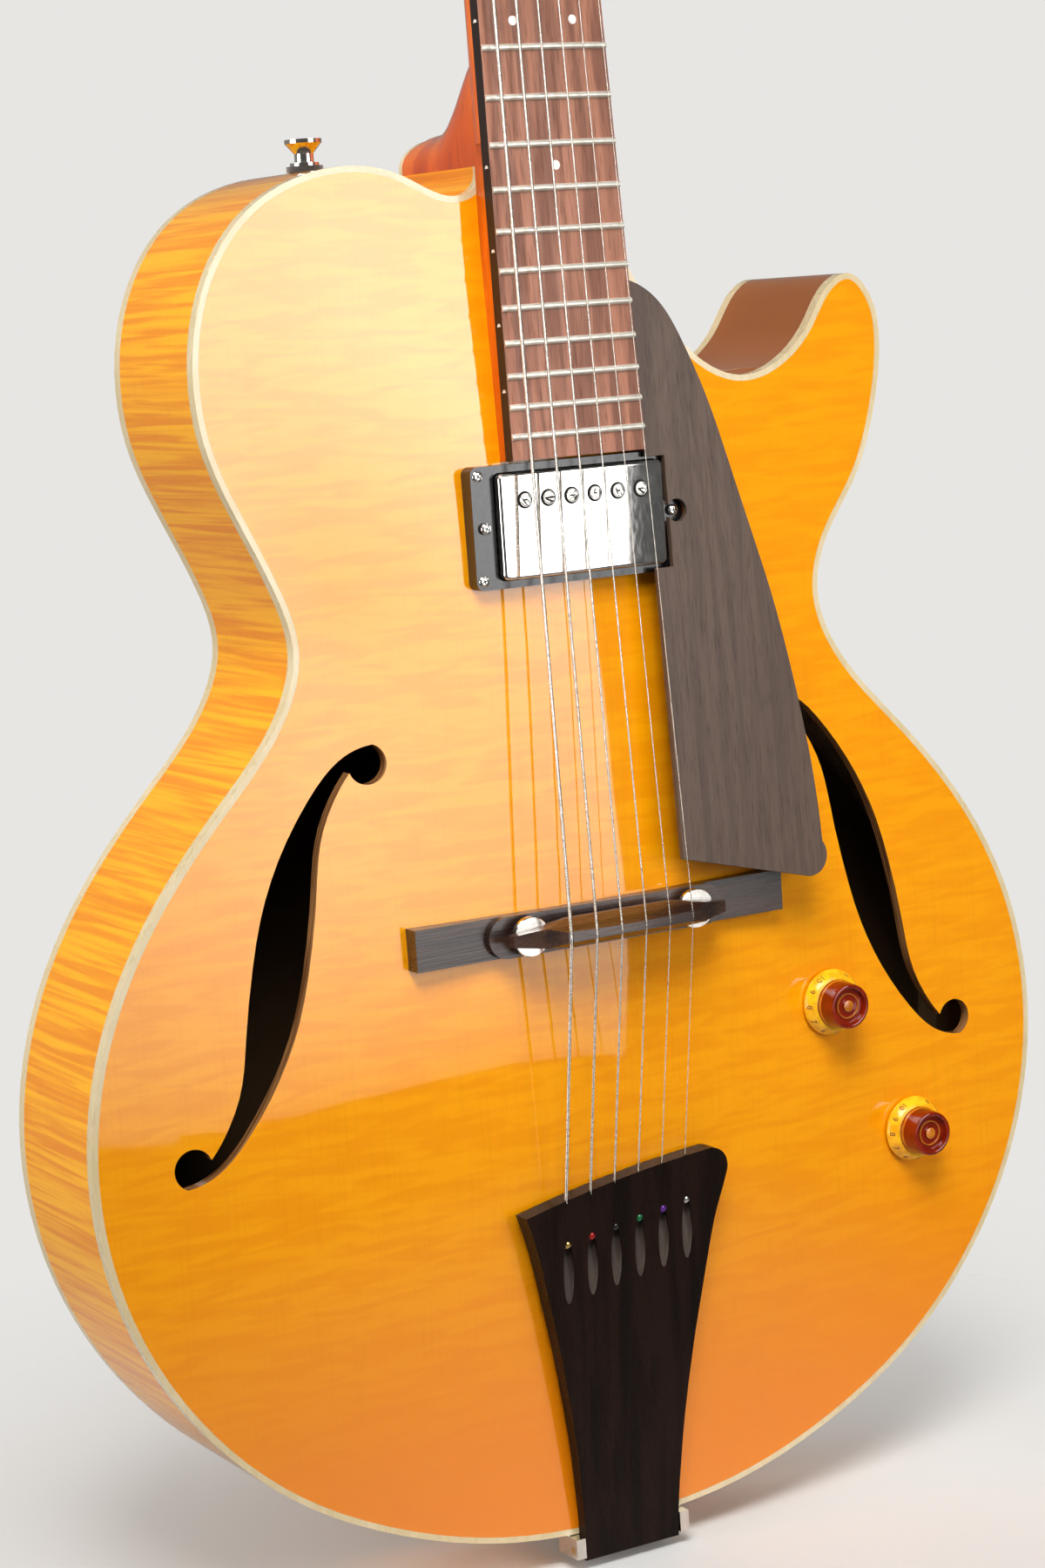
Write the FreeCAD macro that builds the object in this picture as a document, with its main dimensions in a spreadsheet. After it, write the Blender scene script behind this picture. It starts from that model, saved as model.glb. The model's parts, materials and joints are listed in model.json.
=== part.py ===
import FreeCAD, Part
import math
import os
from FreeCAD import Placement, Rotation, Vector

# Archtop guitar with one cutaway, a neck pickup, a floating bridge and a hinged wooden tailpiece.
# Frame: +Z runs up the neck, the arched top faces -Y, the treble side is +X.
# The origin is the middle of the waist of the strap button at the tail.

SIZES = [
    # body
    ("lower_bout", 413.0, "widest part of the body"),
    ("body_length", 519.6, "tail to the top of the bass shoulder"),
    ("body_depth", 68.0, "top edge to back edge, bindings included"),
    ("plate_thick", 4.8, "laminated top and back"),
    ("binding_wide", 2.3, "edge binding seen from the front"),
    ("rim_thick", 2.5, "bent sides"),
    ("lining_wide", 6.0, "kerfed strip inside the rim"),
    ("lining_tall", 13.0, "kerfed strip along the depth"),
    ("arch_height", 11.0, "rise of the top above its edge"),
    ("back_arch", 12.0, "rise of the back above its edge"),
    ("hole_long", 149.6, "sound hole along the body"),
    ("hole_across", 128.6, "middle of a sound hole from the middle line"),
    ("hole_up", 239.5, "middle of a sound hole above the tail"),
    ("block_wide", 60.0, "neck block and tail block"),
    ("neck_block_long", 46.0, "neck block along the body"),
    ("neck_join", 517.5, "end of the body at the neck above the tail"),
    ("tail_block_long", 30.0, "tail block along the body"),
    ("brace_wide", 8.0, "tone bar"),
    ("brace_deep", 12.7, "tone bar's underside behind the front edge"),
    ("brace_across", 44.4, "tone bar from the middle line"),
    ("brace_low", 88.3, "lower end of a tone bar above the tail"),
    ("brace_high", 342.9, "upper end of a tone bar above the tail"),
    # neck and board
    ("scale_length", 631.8, "nut to the scale end at the bridge"),
    ("scale_end", 242.9, "scale end above the tail"),
    ("scale_rise", 27.3, "fret plane above the rim at the scale end"),
    ("neck_angle", 2.98, "degrees, neck leaning back"),
    ("nut_width", 42.5, "board width at the nut"),
    ("board_flare", 0.0154, "growth of the half width per mm"),
    ("board_radius", 305.0, "crown of the fingerboard"),
    ("board_thick", 5.5, "board at its edge"),
    ("board_tail", 8.5, "board past the last fret"),
    ("fret_wide", 2.4, "fret crown"),
    ("fret_tall", 1.1, "fret crown above the board"),
    ("neck_deep_nut", 14.5, "neck wood behind the board at the nut"),
    ("neck_deep_heel", 17.5, "neck wood behind the board at the heel"),
    ("heel_wide", 49.0, "heel at the board"),
    ("heel_long", 56.0, "heel past the body at the board"),
    ("heel_cap_thick", 2.5, "cap on the heel"),
    ("cap_stand", 0.5, "cap behind the edge of the back"),
    ("shaft_lap", 8.0, "neck shaft's end past the body, inside the heel"),
    ("shelf_deep", 13.0, "wood under the nut at the end of the board"),
    ("shelf_past", 3.6, "wood under the nut into the headstock"),
    ("binding_lap", 3.0, "top binding under the edge of the heel"),
    ("tongue_inset", 0.4, "neck tongue inside the board's edges"),
    ("tenon_wide", 30.0, "tenon in the neck block"),
    ("tenon_short", 14.0, "tenon short of the back edge"),
    ("tenon_long", 14.0, "tenon into the block"),
    ("fret_inset", 0.2, "fret ends inside the board's edges"),
    ("dot_radius", 1.7, "dots on the face"),
    ("dot_spread", 25.0, "double dots apart"),
    ("dot_deep", 2.0, "dots into the board"),
    ("side_dot_radius", 1.2, "dots on the bass edge"),
    ("nut_long", 5.0, "nut along the strings"),
    ("nut_lip", 0.4, "nut's front edge above the outer strings"),
    ("nut_fall", 0.6, "fall of the nut's top towards the headstock"),
    ("nut_bow", 1.3, "crown of the nut above the outer strings"),
    ("head_angle", 14.0, "degrees, headstock leaning back"),
    ("head_long", 176.0, "headstock past the nut"),
    ("head_thick", 14.5, "headstock wood"),
    ("head_flare", 13.5, "headstock's side past the nut's end"),
    ("flare_long", 24.6, "headstock's flare past the nut"),
    ("head_spread", 0.032, "growth of the headstock's half width per mm"),
    ("veneer_thick", 2.0, "front veneer"),
    ("rod_cover_long", 42.0, "cover over the truss rod nut"),
    ("rod_cover_wide", 18.0, "cover over the truss rod nut"),
    ("rod_cover_thick", 1.8, "cover over the truss rod nut"),
    ("rod_cover_up", 4.0, "cover past the nut"),
    # tuners
    ("tuner_pitch", 41.0, "post to post"),
    ("tuner_first", 34.0, "first post past the nut"),
    ("tuner_inset", 13.0, "post from the side edge"),
    ("post_radius", 3.0, "tuner post"),
    ("post_stand", 10.0, "post above the veneer"),
    ("post_deep", 8.8, "post into the gear housing"),
    ("sleeve_long", 13.6, "bushing sleeve behind its flange"),
    ("bush_radius", 5.2, "bushing sleeve"),
    ("flange_radius", 7.5, "bushing flange"),
    ("flange_thick", 2.0, "bushing flange"),
    ("gear_deep", 11.0, "gear housing behind the headstock"),
    ("gear_wide", 15.0, "gear housing across"),
    ("gear_long", 21.0, "gear housing along"),
    ("stem_radius", 1.9, "button stem"),
    ("stem_deep", 6.0, "button stem behind the headstock"),
    ("stem_clear", 1.2, "hole for the button stem from the post"),
    ("stem_sunk", 1.0, "button stem into its button"),
    ("button_gap", 4.5, "tuner button from the headstock's side"),
    ("button_wide", 12.0, "tuner button along its stem"),
    ("button_long", 18.0, "tuner button across"),
    ("button_thick", 7.0, "tuner button thickness"),
    ("button_round", 2.2, "tuner button edges"),
    ("running_gap", 0.05, "radial room in a turning fit"),
    ("free_gap", 0.4, "room between pieces that pass each other"),
    # strings
    ("nut_spread", 35.6, "outer strings at the nut"),
    ("bridge_spread", 52.8, "outer strings at the bridge"),
    ("nut_rise", 1.9, "string above the fret plane at the nut"),
    ("crest_rise", 6.1, "string above the fret plane at the bridge"),
    ("string_bow", 1.1, "middle strings above the outer ones"),
    ("compensation", 4.5, "bridge crest past the scale end"),
    ("ball_radius", 1.9, "string ball end"),
    ("ball_drop", 18.0, "ball ends below the tailpiece's top edge"),
    ("ball_sunk", 2.2, "ball ends below the tailpiece's face"),
    ("groove_long", 21.5, "ball grooves below the balls"),
    ("groove_gap", 0.35, "room round strings and balls in the tailpiece"),
    ("slot_gap", 0.02, "room round strings in nut and saddle"),
    ("coil_lift", 4.2, "string turns above the bushing"),
    # bridge
    ("base_long", 160.0, "bridge base across the top"),
    ("base_wide", 15.5, "bridge base along the strings"),
    ("base_rise", 16.0, "bridge base above the rim, middle"),
    ("base_tip_rise", 13.4, "bridge base above the rim, tips"),
    ("base_step", 102.0, "raised middle of the bridge base across"),
    ("stud_spread", 72.0, "bridge studs apart"),
    ("stud_radius", 2.0, "bridge stud"),
    ("stud_sunk", 3.6, "bridge stud into the base"),
    ("stud_past", 3.0, "bridge stud into the saddle"),
    ("bridge_travel", 2.2, "way the saddle can be lowered"),
    ("wheel_radius", 7.75, "thumbwheel"),
    ("wheel_thick", 2.5, "thumbwheel"),
    ("wheel_lift", 2.9, "thumbwheel underside above the base"),
    ("saddle_long", 92.0, "bridge saddle across"),
    ("saddle_wide", 10.5, "bridge saddle at its foot"),
    ("saddle_end_wide", 4.2, "bridge saddle at its two ends"),
    ("saddle_body", 44.0, "length of the bridge saddle at its full width"),
    ("saddle_tip", 4.2, "bridge saddle height at its ends"),
    ("saddle_shoulder", 7.2, "bridge saddle height over the studs"),
    ("saddle_edge", 2.4, "bridge saddle thickness at its crest"),
    ("saddle_crest", 57.0, "bridge saddle's bowed crest across"),
    ("saddle_bow", 1.3, "middle of the crest above its ends"),
    # tailpiece
    ("tail_top", 141.0, "tailpiece top edge above the tail"),
    ("tail_past", 9.0, "tailpiece past the end of the body"),
    ("tail_slant", 12.9, "treble corner of the top edge above the bass corner"),
    ("tail_round", 8.0, "treble corner of the top edge"),
    ("tail_wide", 91.0, "tailpiece at its top"),
    ("tail_foot_wide", 42.0, "tailpiece at its foot"),
    ("tail_rise", 5.4, "front face above the rim at the tail"),
    ("tail_slope", 0.089, "rise of the front face per mm"),
    ("tail_thick", 8.6, "tailpiece at its top"),
    ("tail_foot_thick", 4.6, "tailpiece at its foot"),
    ("hanger_thick", 1.6, "hanger plate"),
    ("hinge_radius", 1.5, "hinge pin"),
    ("ear_wide", 4.0, "hanger ears"),
    ("ear_round", 3.0, "hanger ears round the pin"),
    ("ear_deep", 8.0, "hanger ears behind the front edge"),
    ("ear_past", 0.4, "hanger ears over the end of the body"),
    ("hanger_inset", 1.0, "hanger plate behind the front edge"),
    ("hanger_deep", 50.0, "hanger down the rim"),
    # pickguard
    ("guard_thick", 2.6, "pickguard"),
    ("guard_long", 229.5, "pickguard along the strings"),
    ("guard_wide", 94.0, "pickguard's outer edge from the middle"),
    ("guard_inset", 1.0, "pickguard's lower edge outside the board's line"),
    ("notch_gap", 1.4, "pickguard's notch from the pickup cover"),
    ("access_radius", 4.2, "hole over the height screw"),
    ("guard_drop", 2.1, "pickguard front below the fret plane"),
    ("support_radius", 6.0, "posts under the pickguard"),
    # pickup
    ("pickup_gap", 1.2, "pickup ring from the end of the board"),
    ("ring_long", 89.0, "pickup ring across"),
    ("ring_wide", 44.7, "pickup ring along the strings"),
    ("ring_round", 3.0, "pickup ring corners"),
    ("ring_screw_end", 2.9, "ring screws from the ring's ends"),
    ("ring_screw_side", 3.4, "ring screws from the ring's sides"),
    ("height_screw_end", 4.5, "height screws from the ring's ends"),
    ("well_gap", 1.0, "room round the pickup in the top"),
    ("guard_gap", 0.4, "pickup ring under the pickguard"),
    ("cover_long", 70.0, "pickup cover across"),
    ("cover_wide", 38.5, "pickup cover along the strings"),
    ("cover_lift", 4.0, "pickup cover above its ring"),
    ("cover_tall", 16.0, "pickup cover depth"),
    ("cover_wall", 0.6, "cover metal"),
    ("cover_round", 2.2, "cover corners"),
    ("cover_edge", 1.3, "cover front edges"),
    ("tab_end", 2.0, "pickup lugs inside the ring's ends"),
    ("tab_wide", 13.0, "pickup lugs along the strings"),
    ("tab_thick", 1.6, "pickup base plate and lugs"),
    ("pole_pitch", 9.9, "pole screws apart"),
    ("pole_offset", 9.3, "pole row from the pickup middle"),
    ("pole_radius", 2.4, "pole screw head"),
    ("pole_stand", 0.7, "pole screws above the cover"),
    ("pole_long", 12.0, "pole screws"),
    ("slot_wide", 0.7, "driver slots in the pole screws"),
    ("slot_deep", 0.6, "driver slots in the pole screws"),
    ("screw_radius", 1.9, "small screw head"),
    ("thread_radius", 1.2, "small screw shank"),
    ("screw_head", 1.2, "small screw head height"),
    # controls
    ("volume_across", 104.9, "volume shaft from the middle line"),
    ("volume_up", 189.1, "volume shaft above the tail"),
    ("tone_across", 143.5, "tone shaft from the middle line"),
    ("tone_up", 130.7, "tone shaft above the tail"),
    ("knob_radius", 13.0, "knob skirt"),
    ("skirt_radius", 10.7, "knob skirt at its upper edge"),
    ("cap_radius", 8.5, "knob cap"),
    ("cap_foot", 9.3, "knob cap at its foot"),
    ("skirt_tall", 4.6, "knob skirt"),
    ("knob_tall", 13.6, "whole knob"),
    ("knob_gap", 1.4, "knob above the top"),
    ("knob_roof", 3.0, "knob over the end of its shaft"),
    ("collar_past", 2.2, "pot collar past each face of the top"),
    ("shaft_radius", 3.0, "pot shaft"),
    ("collar_radius", 4.7, "pot collar through the top"),
    ("pot_radius", 12.0, "pot can"),
    ("pot_deep", 9.0, "pot can"),
    # fittings on the rim
    ("strap_radius", 6.75, "strap button head"),
    ("strap_waist", 3.5, "strap button waist"),
    ("strap_waist_long", 3.2, "strap button waist along its axis"),
    ("strap_foot", 5.3, "strap button foot"),
    ("strap_disc", 1.2, "strap button foot thickness"),
    ("strap_horn", 3.8, "strap button from the waist to the lip"),
    ("strap_lip", 1.4, "strap button lip"),
    ("washer_thick", 2.0, "felt washer"),
    ("jack_bore", 3.25, "jack bore for a quarter inch plug"),
    ("jack_barrel", 5.0, "jack barrel"),
    ("jack_flange", 10.5, "jack cup flange"),
    ("jack_cup", 1.6, "jack cup flange thickness"),
    ("jack_long", 22.0, "jack barrel inside the body"),
    ("jack_end", 2.0, "wall behind the jack's bore"),
    ("jack_up", 98.7, "jack above the tail"),
]
FRETS = 22
STRING_RADII = [0.66, 0.53, 0.41, 0.31, 0.21, 0.16]

doc = FreeCAD.newDocument("archtop_guitar")
sheet = doc.addObject("Spreadsheet::Sheet", "sizes")
for row, (alias, value, note) in enumerate(SIZES, start=1):
    sheet.set("A%d" % row, note)
    sheet.set("B%d" % row, str(value))
    sheet.setAlias("B%d" % row, alias)
doc.recompute()


class Sizes:
    """The sheet's values by name."""


for alias, value, note in SIZES:
    setattr(Sizes, alias, float(sheet.get(alias)))
S = Sizes
pieces = []

X_AXIS = Vector(1, 0, 0)
Y_AXIS = Vector(0, 1, 0)
Z_AXIS = Vector(0, 0, 1)
FRONT = Vector(0, -1, 0)

# Derived places.
half_depth = S.body_depth / 2
tail_z = S.hanger_thick + S.washer_thick + S.strap_disc + S.strap_waist_long / 2
half_neck = S.heel_wide / 2
board_under = S.fret_tall + S.board_thick
rim_front = -half_depth + S.plate_thick
rim_back = half_depth - S.plate_thick
REACH = 80  # longer than any cut has to go
PAST = 1.0  # how far a trimming shape stands past the face that it trims
TINY = 0.01  # edges closer than this lie on one face
through = Vector(0, REACH, 0)


def at(x, rise, z):
    """Point from its side offset, rise above the top rim and distance from the tail."""
    return Vector(x, -half_depth - rise, tail_z + z)


def add(kind, name, **formulas):
    """New document object with its properties bound to the sheet."""
    obj = doc.addObject(kind, name)
    for prop, formula in formulas.items():
        obj.setExpression(prop, formula)
    return obj


def put(obj, base, rotation=Rotation()):
    obj.Placement = Placement(base, rotation)
    return obj


def rod(name, radius, length, base, direction):
    """Cylinder from a base point along a direction, sizes as sheet formulas."""
    obj = add("Part::Cylinder", name, Radius=radius, Height=length)
    return put(obj, base, Rotation(Z_AXIS, direction))


def block(name, length, width, height, base, rotation=Rotation()):
    obj = add("Part::Box", name, Length=length, Width=width, Height=height)
    return put(obj, base, rotation)


def fuse(name, shapes):
    obj = doc.addObject("Part::MultiFuse", name)
    obj.Shapes = shapes
    return obj


def cut(name, base, tool):
    obj = doc.addObject("Part::Cut", name)
    obj.Base = base
    obj.Tool = tool
    return obj


def group(name, links):
    obj = doc.addObject("Part::Compound", name)
    obj.Links = links
    return obj


def solid(name, shape, placement=Placement()):
    """Document object that holds a shape built from curves."""
    obj = doc.addObject("Part::Feature", name)
    obj.Shape = shape
    obj.Placement = placement
    return obj


def piece(obj, label):
    obj.Label = label
    pieces.append(obj)
    return obj


def box_shape(x0, x1, y0, y1, z0, z1):
    return Part.makeBox(x1 - x0, y1 - y0, z1 - z0, Vector(x0, y0, z0))


def tube_shape(start, end, radius):
    return Part.makeCylinder(radius, (end - start).Length, start, end - start)


def slot_shape(start, end, radius):
    """Groove along a string, round below and open to the front."""
    run = end - start
    across = run.cross(FRONT)
    across.normalize()
    outward = across.cross(run)
    outward.normalize()
    left = start - across * radius
    right = start + across * radius
    lip = outward * REACH
    edges = [Part.Arc(left, start - outward * radius, right).toShape(), Part.makeLine(right, right + lip),
             Part.makeLine(right + lip, left + lip), Part.makeLine(left + lip, left)]
    return Part.Face(Part.Wire(edges)).extrude(run)


def polygon_prism(points, along):
    wire = Part.makePolygon(points + points[:1])
    return Part.Face(wire).extrude(along)


def spline(points):
    curve = Part.BSplineCurve()
    curve.interpolate(points)
    return curve


def one_solid(shape):
    """The single solid of a boolean result, or the result when it holds several."""
    return shape.Solids[0] if len(shape.Solids) == 1 else shape


# Body outline: side offset over the half width, and distance from the tail over the length.
LOWER = [(0.252, 0.0085), (0.475, 0.0366), (0.673, 0.081), (0.838, 0.146), (0.954, 0.229),
         (1.0, 0.331), (0.964, 0.4195), (0.872, 0.4945), (0.712, 0.5715), (0.593, 0.6255),
         (0.5497, 0.6735)]
BASS = [(0.576, 0.716), (0.634, 0.766), (0.683, 0.814), (0.6975, 0.866), (0.668, 0.922),
        (0.572, 0.974), (0.47, 0.9943), (0.373, 1.0), (0.266, 0.9905), (0.165, 0.9763),
        (0.1283, 0.9825)]
TREBLE = [(0.576, 0.712), (0.649, 0.7545), (0.6975, 0.8006), (0.7215, 0.8545), (0.707, 0.8872),
          (0.656, 0.9057), (0.608, 0.8968), (0.5615, 0.871), (0.499, 0.8478), (0.407, 0.8372),
          (0.32, 0.8507), (0.24, 0.8834), (0.1816, 0.9151), (0.138, 0.9584)]


def outline_point(side, fractions):
    across, along = fractions
    return Vector(side * across * S.lower_bout / 2, 0, tail_z + along * S.body_length)


neck_corner = Vector(half_neck, 0, tail_z + S.neck_join)
outline_points = [Vector(-neck_corner.x, 0, neck_corner.z)]
outline_points += [outline_point(-1, p) for p in reversed(LOWER + BASS)]
outline_points += [Vector(0, 0, tail_z)]
outline_points += [outline_point(1, p) for p in LOWER + TREBLE]
outline_points += [neck_corner]
outline = spline(outline_points)


def outline_normal(t):
    """Outward direction at a parameter of the outline."""
    tangent = outline.tangent(t)[0]
    return Vector(tangent.z, 0, -tangent.x)


CORNER_ROOM = 0.5  # points of a moved outline nearer to the neck's line than this are left out
CORNER_LEAN = 0.1  # lean of a moved outline's last stretch


def body_face(inset, y):
    """Face inside the outline moved inward by inset, closed across the neck."""
    top = neck_corner.z - max(inset, 0)
    if inset == 0:
        points = outline_points
    else:
        knots = outline.getKnots()
        params = [a + (b - a) * k / 3 for a, b in zip(knots, knots[1:]) for k in range(3)] + knots[-1:]
        points = [outline.value(t) - outline_normal(t) * inset for t in params]
        middle = len(points) // 2
        left = [p for p in points[:middle] if p.z < top - CORNER_ROOM or p.x < -2 * half_neck]
        right = [p for p in points[middle:] if p.z < top - CORNER_ROOM or p.x > 2 * half_neck]
        first = Vector(left[0].x + CORNER_LEAN, 0, top)
        last = Vector(right[-1].x - CORNER_LEAN, 0, top)
        points = [first] + left + right + [last]
    edge = spline(points).toShape()
    close = Part.makeLine(points[-1], points[0])
    face = Part.Face(Part.Wire([edge, close]))
    face.translate(Vector(0, y, 0))
    return face


def body_prism(inset, y0, y1):
    return body_face(inset, y0).extrude(Vector(0, y1 - y0, 0))


# Arch: a skin stretched over the outline and blown up, steepened so that it dips to flat edges.
STEP = 12.75
MARGIN = 2  # cells past the outline on each side
COLUMNS = (int(S.lower_bout / STEP) + 2 * MARGIN) | 1
ROWS = int(S.body_length / STEP) + 2 * MARGIN + 1
ARCH_POWER = 2.4
UPPER_LOAD = 1.3
LOAD_FROM = 0.55
LOAD_OVER = 0.25
SWEEPS = 260
OVERSHOOT = 1.8
grid_x = [(i - COLUMNS // 2) * STEP for i in range(COLUMNS)]
grid_z = [tail_z + (j - MARGIN) * STEP for j in range(ROWS)]
edge_points = outline.discretize(240)


def inside(x, z):
    """True inside the outline, by counting the edges that a ray crosses."""
    crossings = 0
    for a, b in zip(edge_points, edge_points[1:] + edge_points[:1]):
        if (a.z > z) != (b.z > z) and x < a.x + (z - a.z) * (b.x - a.x) / (b.z - a.z):
            crossings += 1
    return crossings % 2 == 1


def blown_skin():
    """Heights of the skin on the grid, from 0 at the edge to 1 at its highest."""
    cells = [(i, j) for i in range(1, COLUMNS - 1) for j in range(1, ROWS - 1)
             if inside(grid_x[i], grid_z[j])]
    skin = [[0.0] * ROWS for _ in grid_x]
    waist = tail_z + LOAD_FROM * S.body_length
    rise = LOAD_OVER * S.body_length
    load = [1 + UPPER_LOAD * min(max((z - waist) / rise, 0), 1) for z in grid_z]
    for _ in range(SWEEPS):
        for i, j in cells:
            around = skin[i - 1][j] + skin[i + 1][j] + skin[i][j - 1] + skin[i][j + 1]
            skin[i][j] += OVERSHOOT * ((around + load[j]) / 4 - skin[i][j])
    top = max(max(column) for column in skin)
    return [[(max(value, 0) / top) ** ARCH_POWER for value in column] for column in skin]


skin = blown_skin()


def arch_face(edge_y, rise):
    """Smooth arched sheet over the whole grid, rising from edge_y by rise."""
    rows = [[Vector(x, edge_y + rise * skin[i][j], z) for j, z in enumerate(grid_z)]
            for i, x in enumerate(grid_x)]
    surface = Part.BSplineSurface()
    surface.interpolate(rows)
    return surface.toShape()


def rise_at(x, z):
    """Rise of the top above the rim at a side offset and distance from the tail."""
    line = Part.makeLine(at(x, REACH, z), at(x, -S.arch_height, z))
    return -half_depth - line.common(below_top).BoundBox.YMin


top_sheet = arch_face(-half_depth, -S.arch_height)
below_top = top_sheet.extrude(through)
under_sheet = top_sheet.copy()
under_sheet.translate(Vector(0, S.plate_thick, 0))
below_plate = under_sheet.extrude(through)
back_sheet = arch_face(half_depth, S.back_arch)

# Neck frame: x across, y into the guitar from the fret plane, z from the scale end to the nut.
lean = math.radians(S.neck_angle)
neck_place = Placement(at(0, S.scale_rise, S.scale_end), Rotation(X_AXIS, -S.neck_angle))
nut_z = S.scale_length
board_end_z = S.scale_length * 2 ** (-FRETS / 12) - S.board_tail
guard_under = S.guard_drop + S.guard_thick


def board_half(z):
    return S.nut_width / 2 + (nut_z - z) * S.board_flare


def neck_z_of(z):
    """Neck frame z of a distance from the tail."""
    return (z - S.scale_end) / math.cos(lean)


# Places on the body that several pieces share.
board_end = S.scale_end + board_end_z * math.cos(lean)
pickup_z = board_end - S.pickup_gap - S.ring_wide / 2
ring_top_z = pickup_z + S.ring_wide / 2
ring_rise = S.scale_rise - (ring_top_z - S.scale_end) * math.tan(lean) - guard_under - S.guard_gap
cover_rise = ring_rise + S.cover_lift
tab_rise = cover_rise - S.cover_tall
cover_half = Vector(S.cover_long / 2, 0, S.cover_wide / 2)
tab_half = S.ring_long / 2 - S.tab_end
height_screw_x = S.ring_long / 2 - S.height_screw_end
volume_at = (S.volume_across, S.volume_up)
tone_at = (S.tone_across, S.tone_up)


# Sound hole: one edge and the outer side of an eye, over the hole's length, from its middle.
HOLE_EDGE = [(-0.283, 0.5), (-0.202, 0.475), (-0.109, 0.388), (-0.031, 0.277), (0.037, 0.134), (0.075, 0.0),
             (0.105, -0.154), (0.131, -0.287), (0.164, -0.361), (0.2185, -0.437)]
HOLE_EYE = (0.315, -0.457)


def f_hole_face(side):
    """Sound hole, alike when turned half round about its middle."""

    def spot(share, turn):
        across = S.hole_across + turn * share[0] * S.hole_long
        return at(side * across, REACH, S.hole_up + turn * share[1] * S.hole_long)

    edges = []
    for turn in (1, -1):
        edges.append(spline([spot(share, turn) for share in HOLE_EDGE]).toShape())
        ends = [spot(HOLE_EDGE[-1], turn), spot(HOLE_EYE, turn), spot(HOLE_EDGE[0], -turn)]
        edges.append(Part.Arc(*ends).toShape())
    return Part.Face(Part.Wire(edges))


# Top, back, bindings and rim.
top_shape = top_sheet.extrude(Vector(0, S.plate_thick, 0))
top_shape = top_shape.common(body_prism(S.binding_wide, -half_depth - REACH, rim_front))
for side in (-1, 1):
    top_shape = top_shape.cut(f_hole_face(side).extrude(through * 2))
wells = []
for half_x, half_z in ((cover_half.x, cover_half.z), (tab_half, S.tab_wide / 2)):
    half_x += S.well_gap
    half_z += S.well_gap
    wells.append(box_shape(-half_x, half_x, -half_depth - REACH, 0,
                           tail_z + pickup_z - half_z, tail_z + pickup_z + half_z))
top_shape = top_shape.cut(wells)
for x, z in (volume_at, tone_at):
    top_shape = top_shape.cut(Part.makeCylinder(S.collar_radius, REACH, at(x, REACH / 2, z), Y_AXIS))
piece(solid("top", one_solid(top_shape)), "top_plate")

back_shape = back_sheet.extrude(Vector(0, -S.plate_thick, 0))
back_shape = back_shape.common(body_prism(S.binding_wide, rim_back, half_depth + REACH))
piece(solid("back", one_solid(back_shape)), "back_plate")

half_gap = half_neck - S.binding_lap
neck_gap = box_shape(-half_gap, half_gap, -half_depth - REACH, half_depth,
                     neck_corner.z - S.binding_wide, neck_corner.z + REACH)
for name, y0 in (("top_binding", -half_depth), ("back_binding", half_depth - S.plate_thick)):
    ring = body_prism(0, y0, y0 + S.plate_thick)
    ring = ring.cut(body_prism(S.binding_wide, y0, y0 + S.plate_thick))
    if name == "top_binding":
        ring = ring.cut(neck_gap)
    piece(solid(name + "_strip", one_solid(ring)), name)

tenon = box_shape(-S.tenon_wide / 2, S.tenon_wide / 2, rim_front, half_depth - S.tenon_short,
                  neck_corner.z - S.rim_thick - S.tenon_long, neck_corner.z)

# The jack and the strap button stand square to the rim.
TRIALS = 1500


def outline_trials(first, last):
    """Even parameters between two shares of the outline."""
    step = (last - first) / TRIALS
    return [outline.LastParameter * (first + k * step) for k in range(TRIALS + 1)]


jack_t = min(outline_trials(0.5, 0.78), key=lambda t: abs(outline.value(t).z - tail_z - S.jack_up))
jack_point = outline.value(jack_t)
jack_out = outline_normal(jack_t)
shoulder_t = max(outline_trials(0.02, 0.23), key=lambda t: outline.value(t).z)
shoulder_point = outline.value(shoulder_t)
shoulder_out = outline_normal(shoulder_t)
jack_hole = Part.makeCylinder(S.jack_barrel, REACH, jack_point + jack_out * REACH / 2, jack_out * -1)

rim_shape = body_prism(0, rim_front, rim_back).cut(body_prism(S.rim_thick, rim_front, rim_back))
rim_shape = rim_shape.cut([tenon, jack_hole])
piece(solid("sides", one_solid(rim_shape)), "rim")

# Blocks and linings inside the rim.
hollow = body_prism(S.rim_thick, rim_front, rim_back)
neck_block_box = box_shape(-S.block_wide / 2, S.block_wide / 2, rim_front, rim_back,
                           neck_corner.z - S.rim_thick - S.neck_block_long, neck_corner.z + REACH)
tail_block_box = box_shape(-S.block_wide / 2, S.block_wide / 2, rim_front, rim_back,
                           tail_z - REACH, tail_z + S.rim_thick + S.tail_block_long)
piece(solid("upper_block", one_solid(hollow.common(neck_block_box).cut(tenon))), "neck_block")
piece(solid("lower_block", one_solid(hollow.common(tail_block_box))), "tail_block")
strips = []
for y0, y1 in ((rim_front, rim_front + S.lining_tall), (rim_back - S.lining_tall, rim_back)):
    strip = body_prism(S.rim_thick, y0, y1).cut(body_prism(S.rim_thick + S.lining_wide, y0, y1))
    strip = strip.cut([neck_block_box, tail_block_box])
    strips += [solid("lining", one) for one in strip.Solids]
piece(group("lining_strips", strips), "linings")

# Tone bars follow the underside of the top.
bars = []
for side in (-1, 1):
    x = side * S.brace_across
    bar = box_shape(x - S.brace_wide / 2, x + S.brace_wide / 2, -half_depth - REACH,
                    -half_depth + S.brace_deep, tail_z + S.brace_low, tail_z + S.brace_high)
    bars.append(solid("bar", one_solid(bar.common(below_plate))))
piece(group("bars", bars), "tone_bars")


# Neck and headstock sections.
NECK_POWER = 2.2  # above 2 the back of the neck is flatter than an ellipse


def placed(shape, placement):
    moved = shape.copy()
    moved.Placement = placement
    return moved


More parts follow.
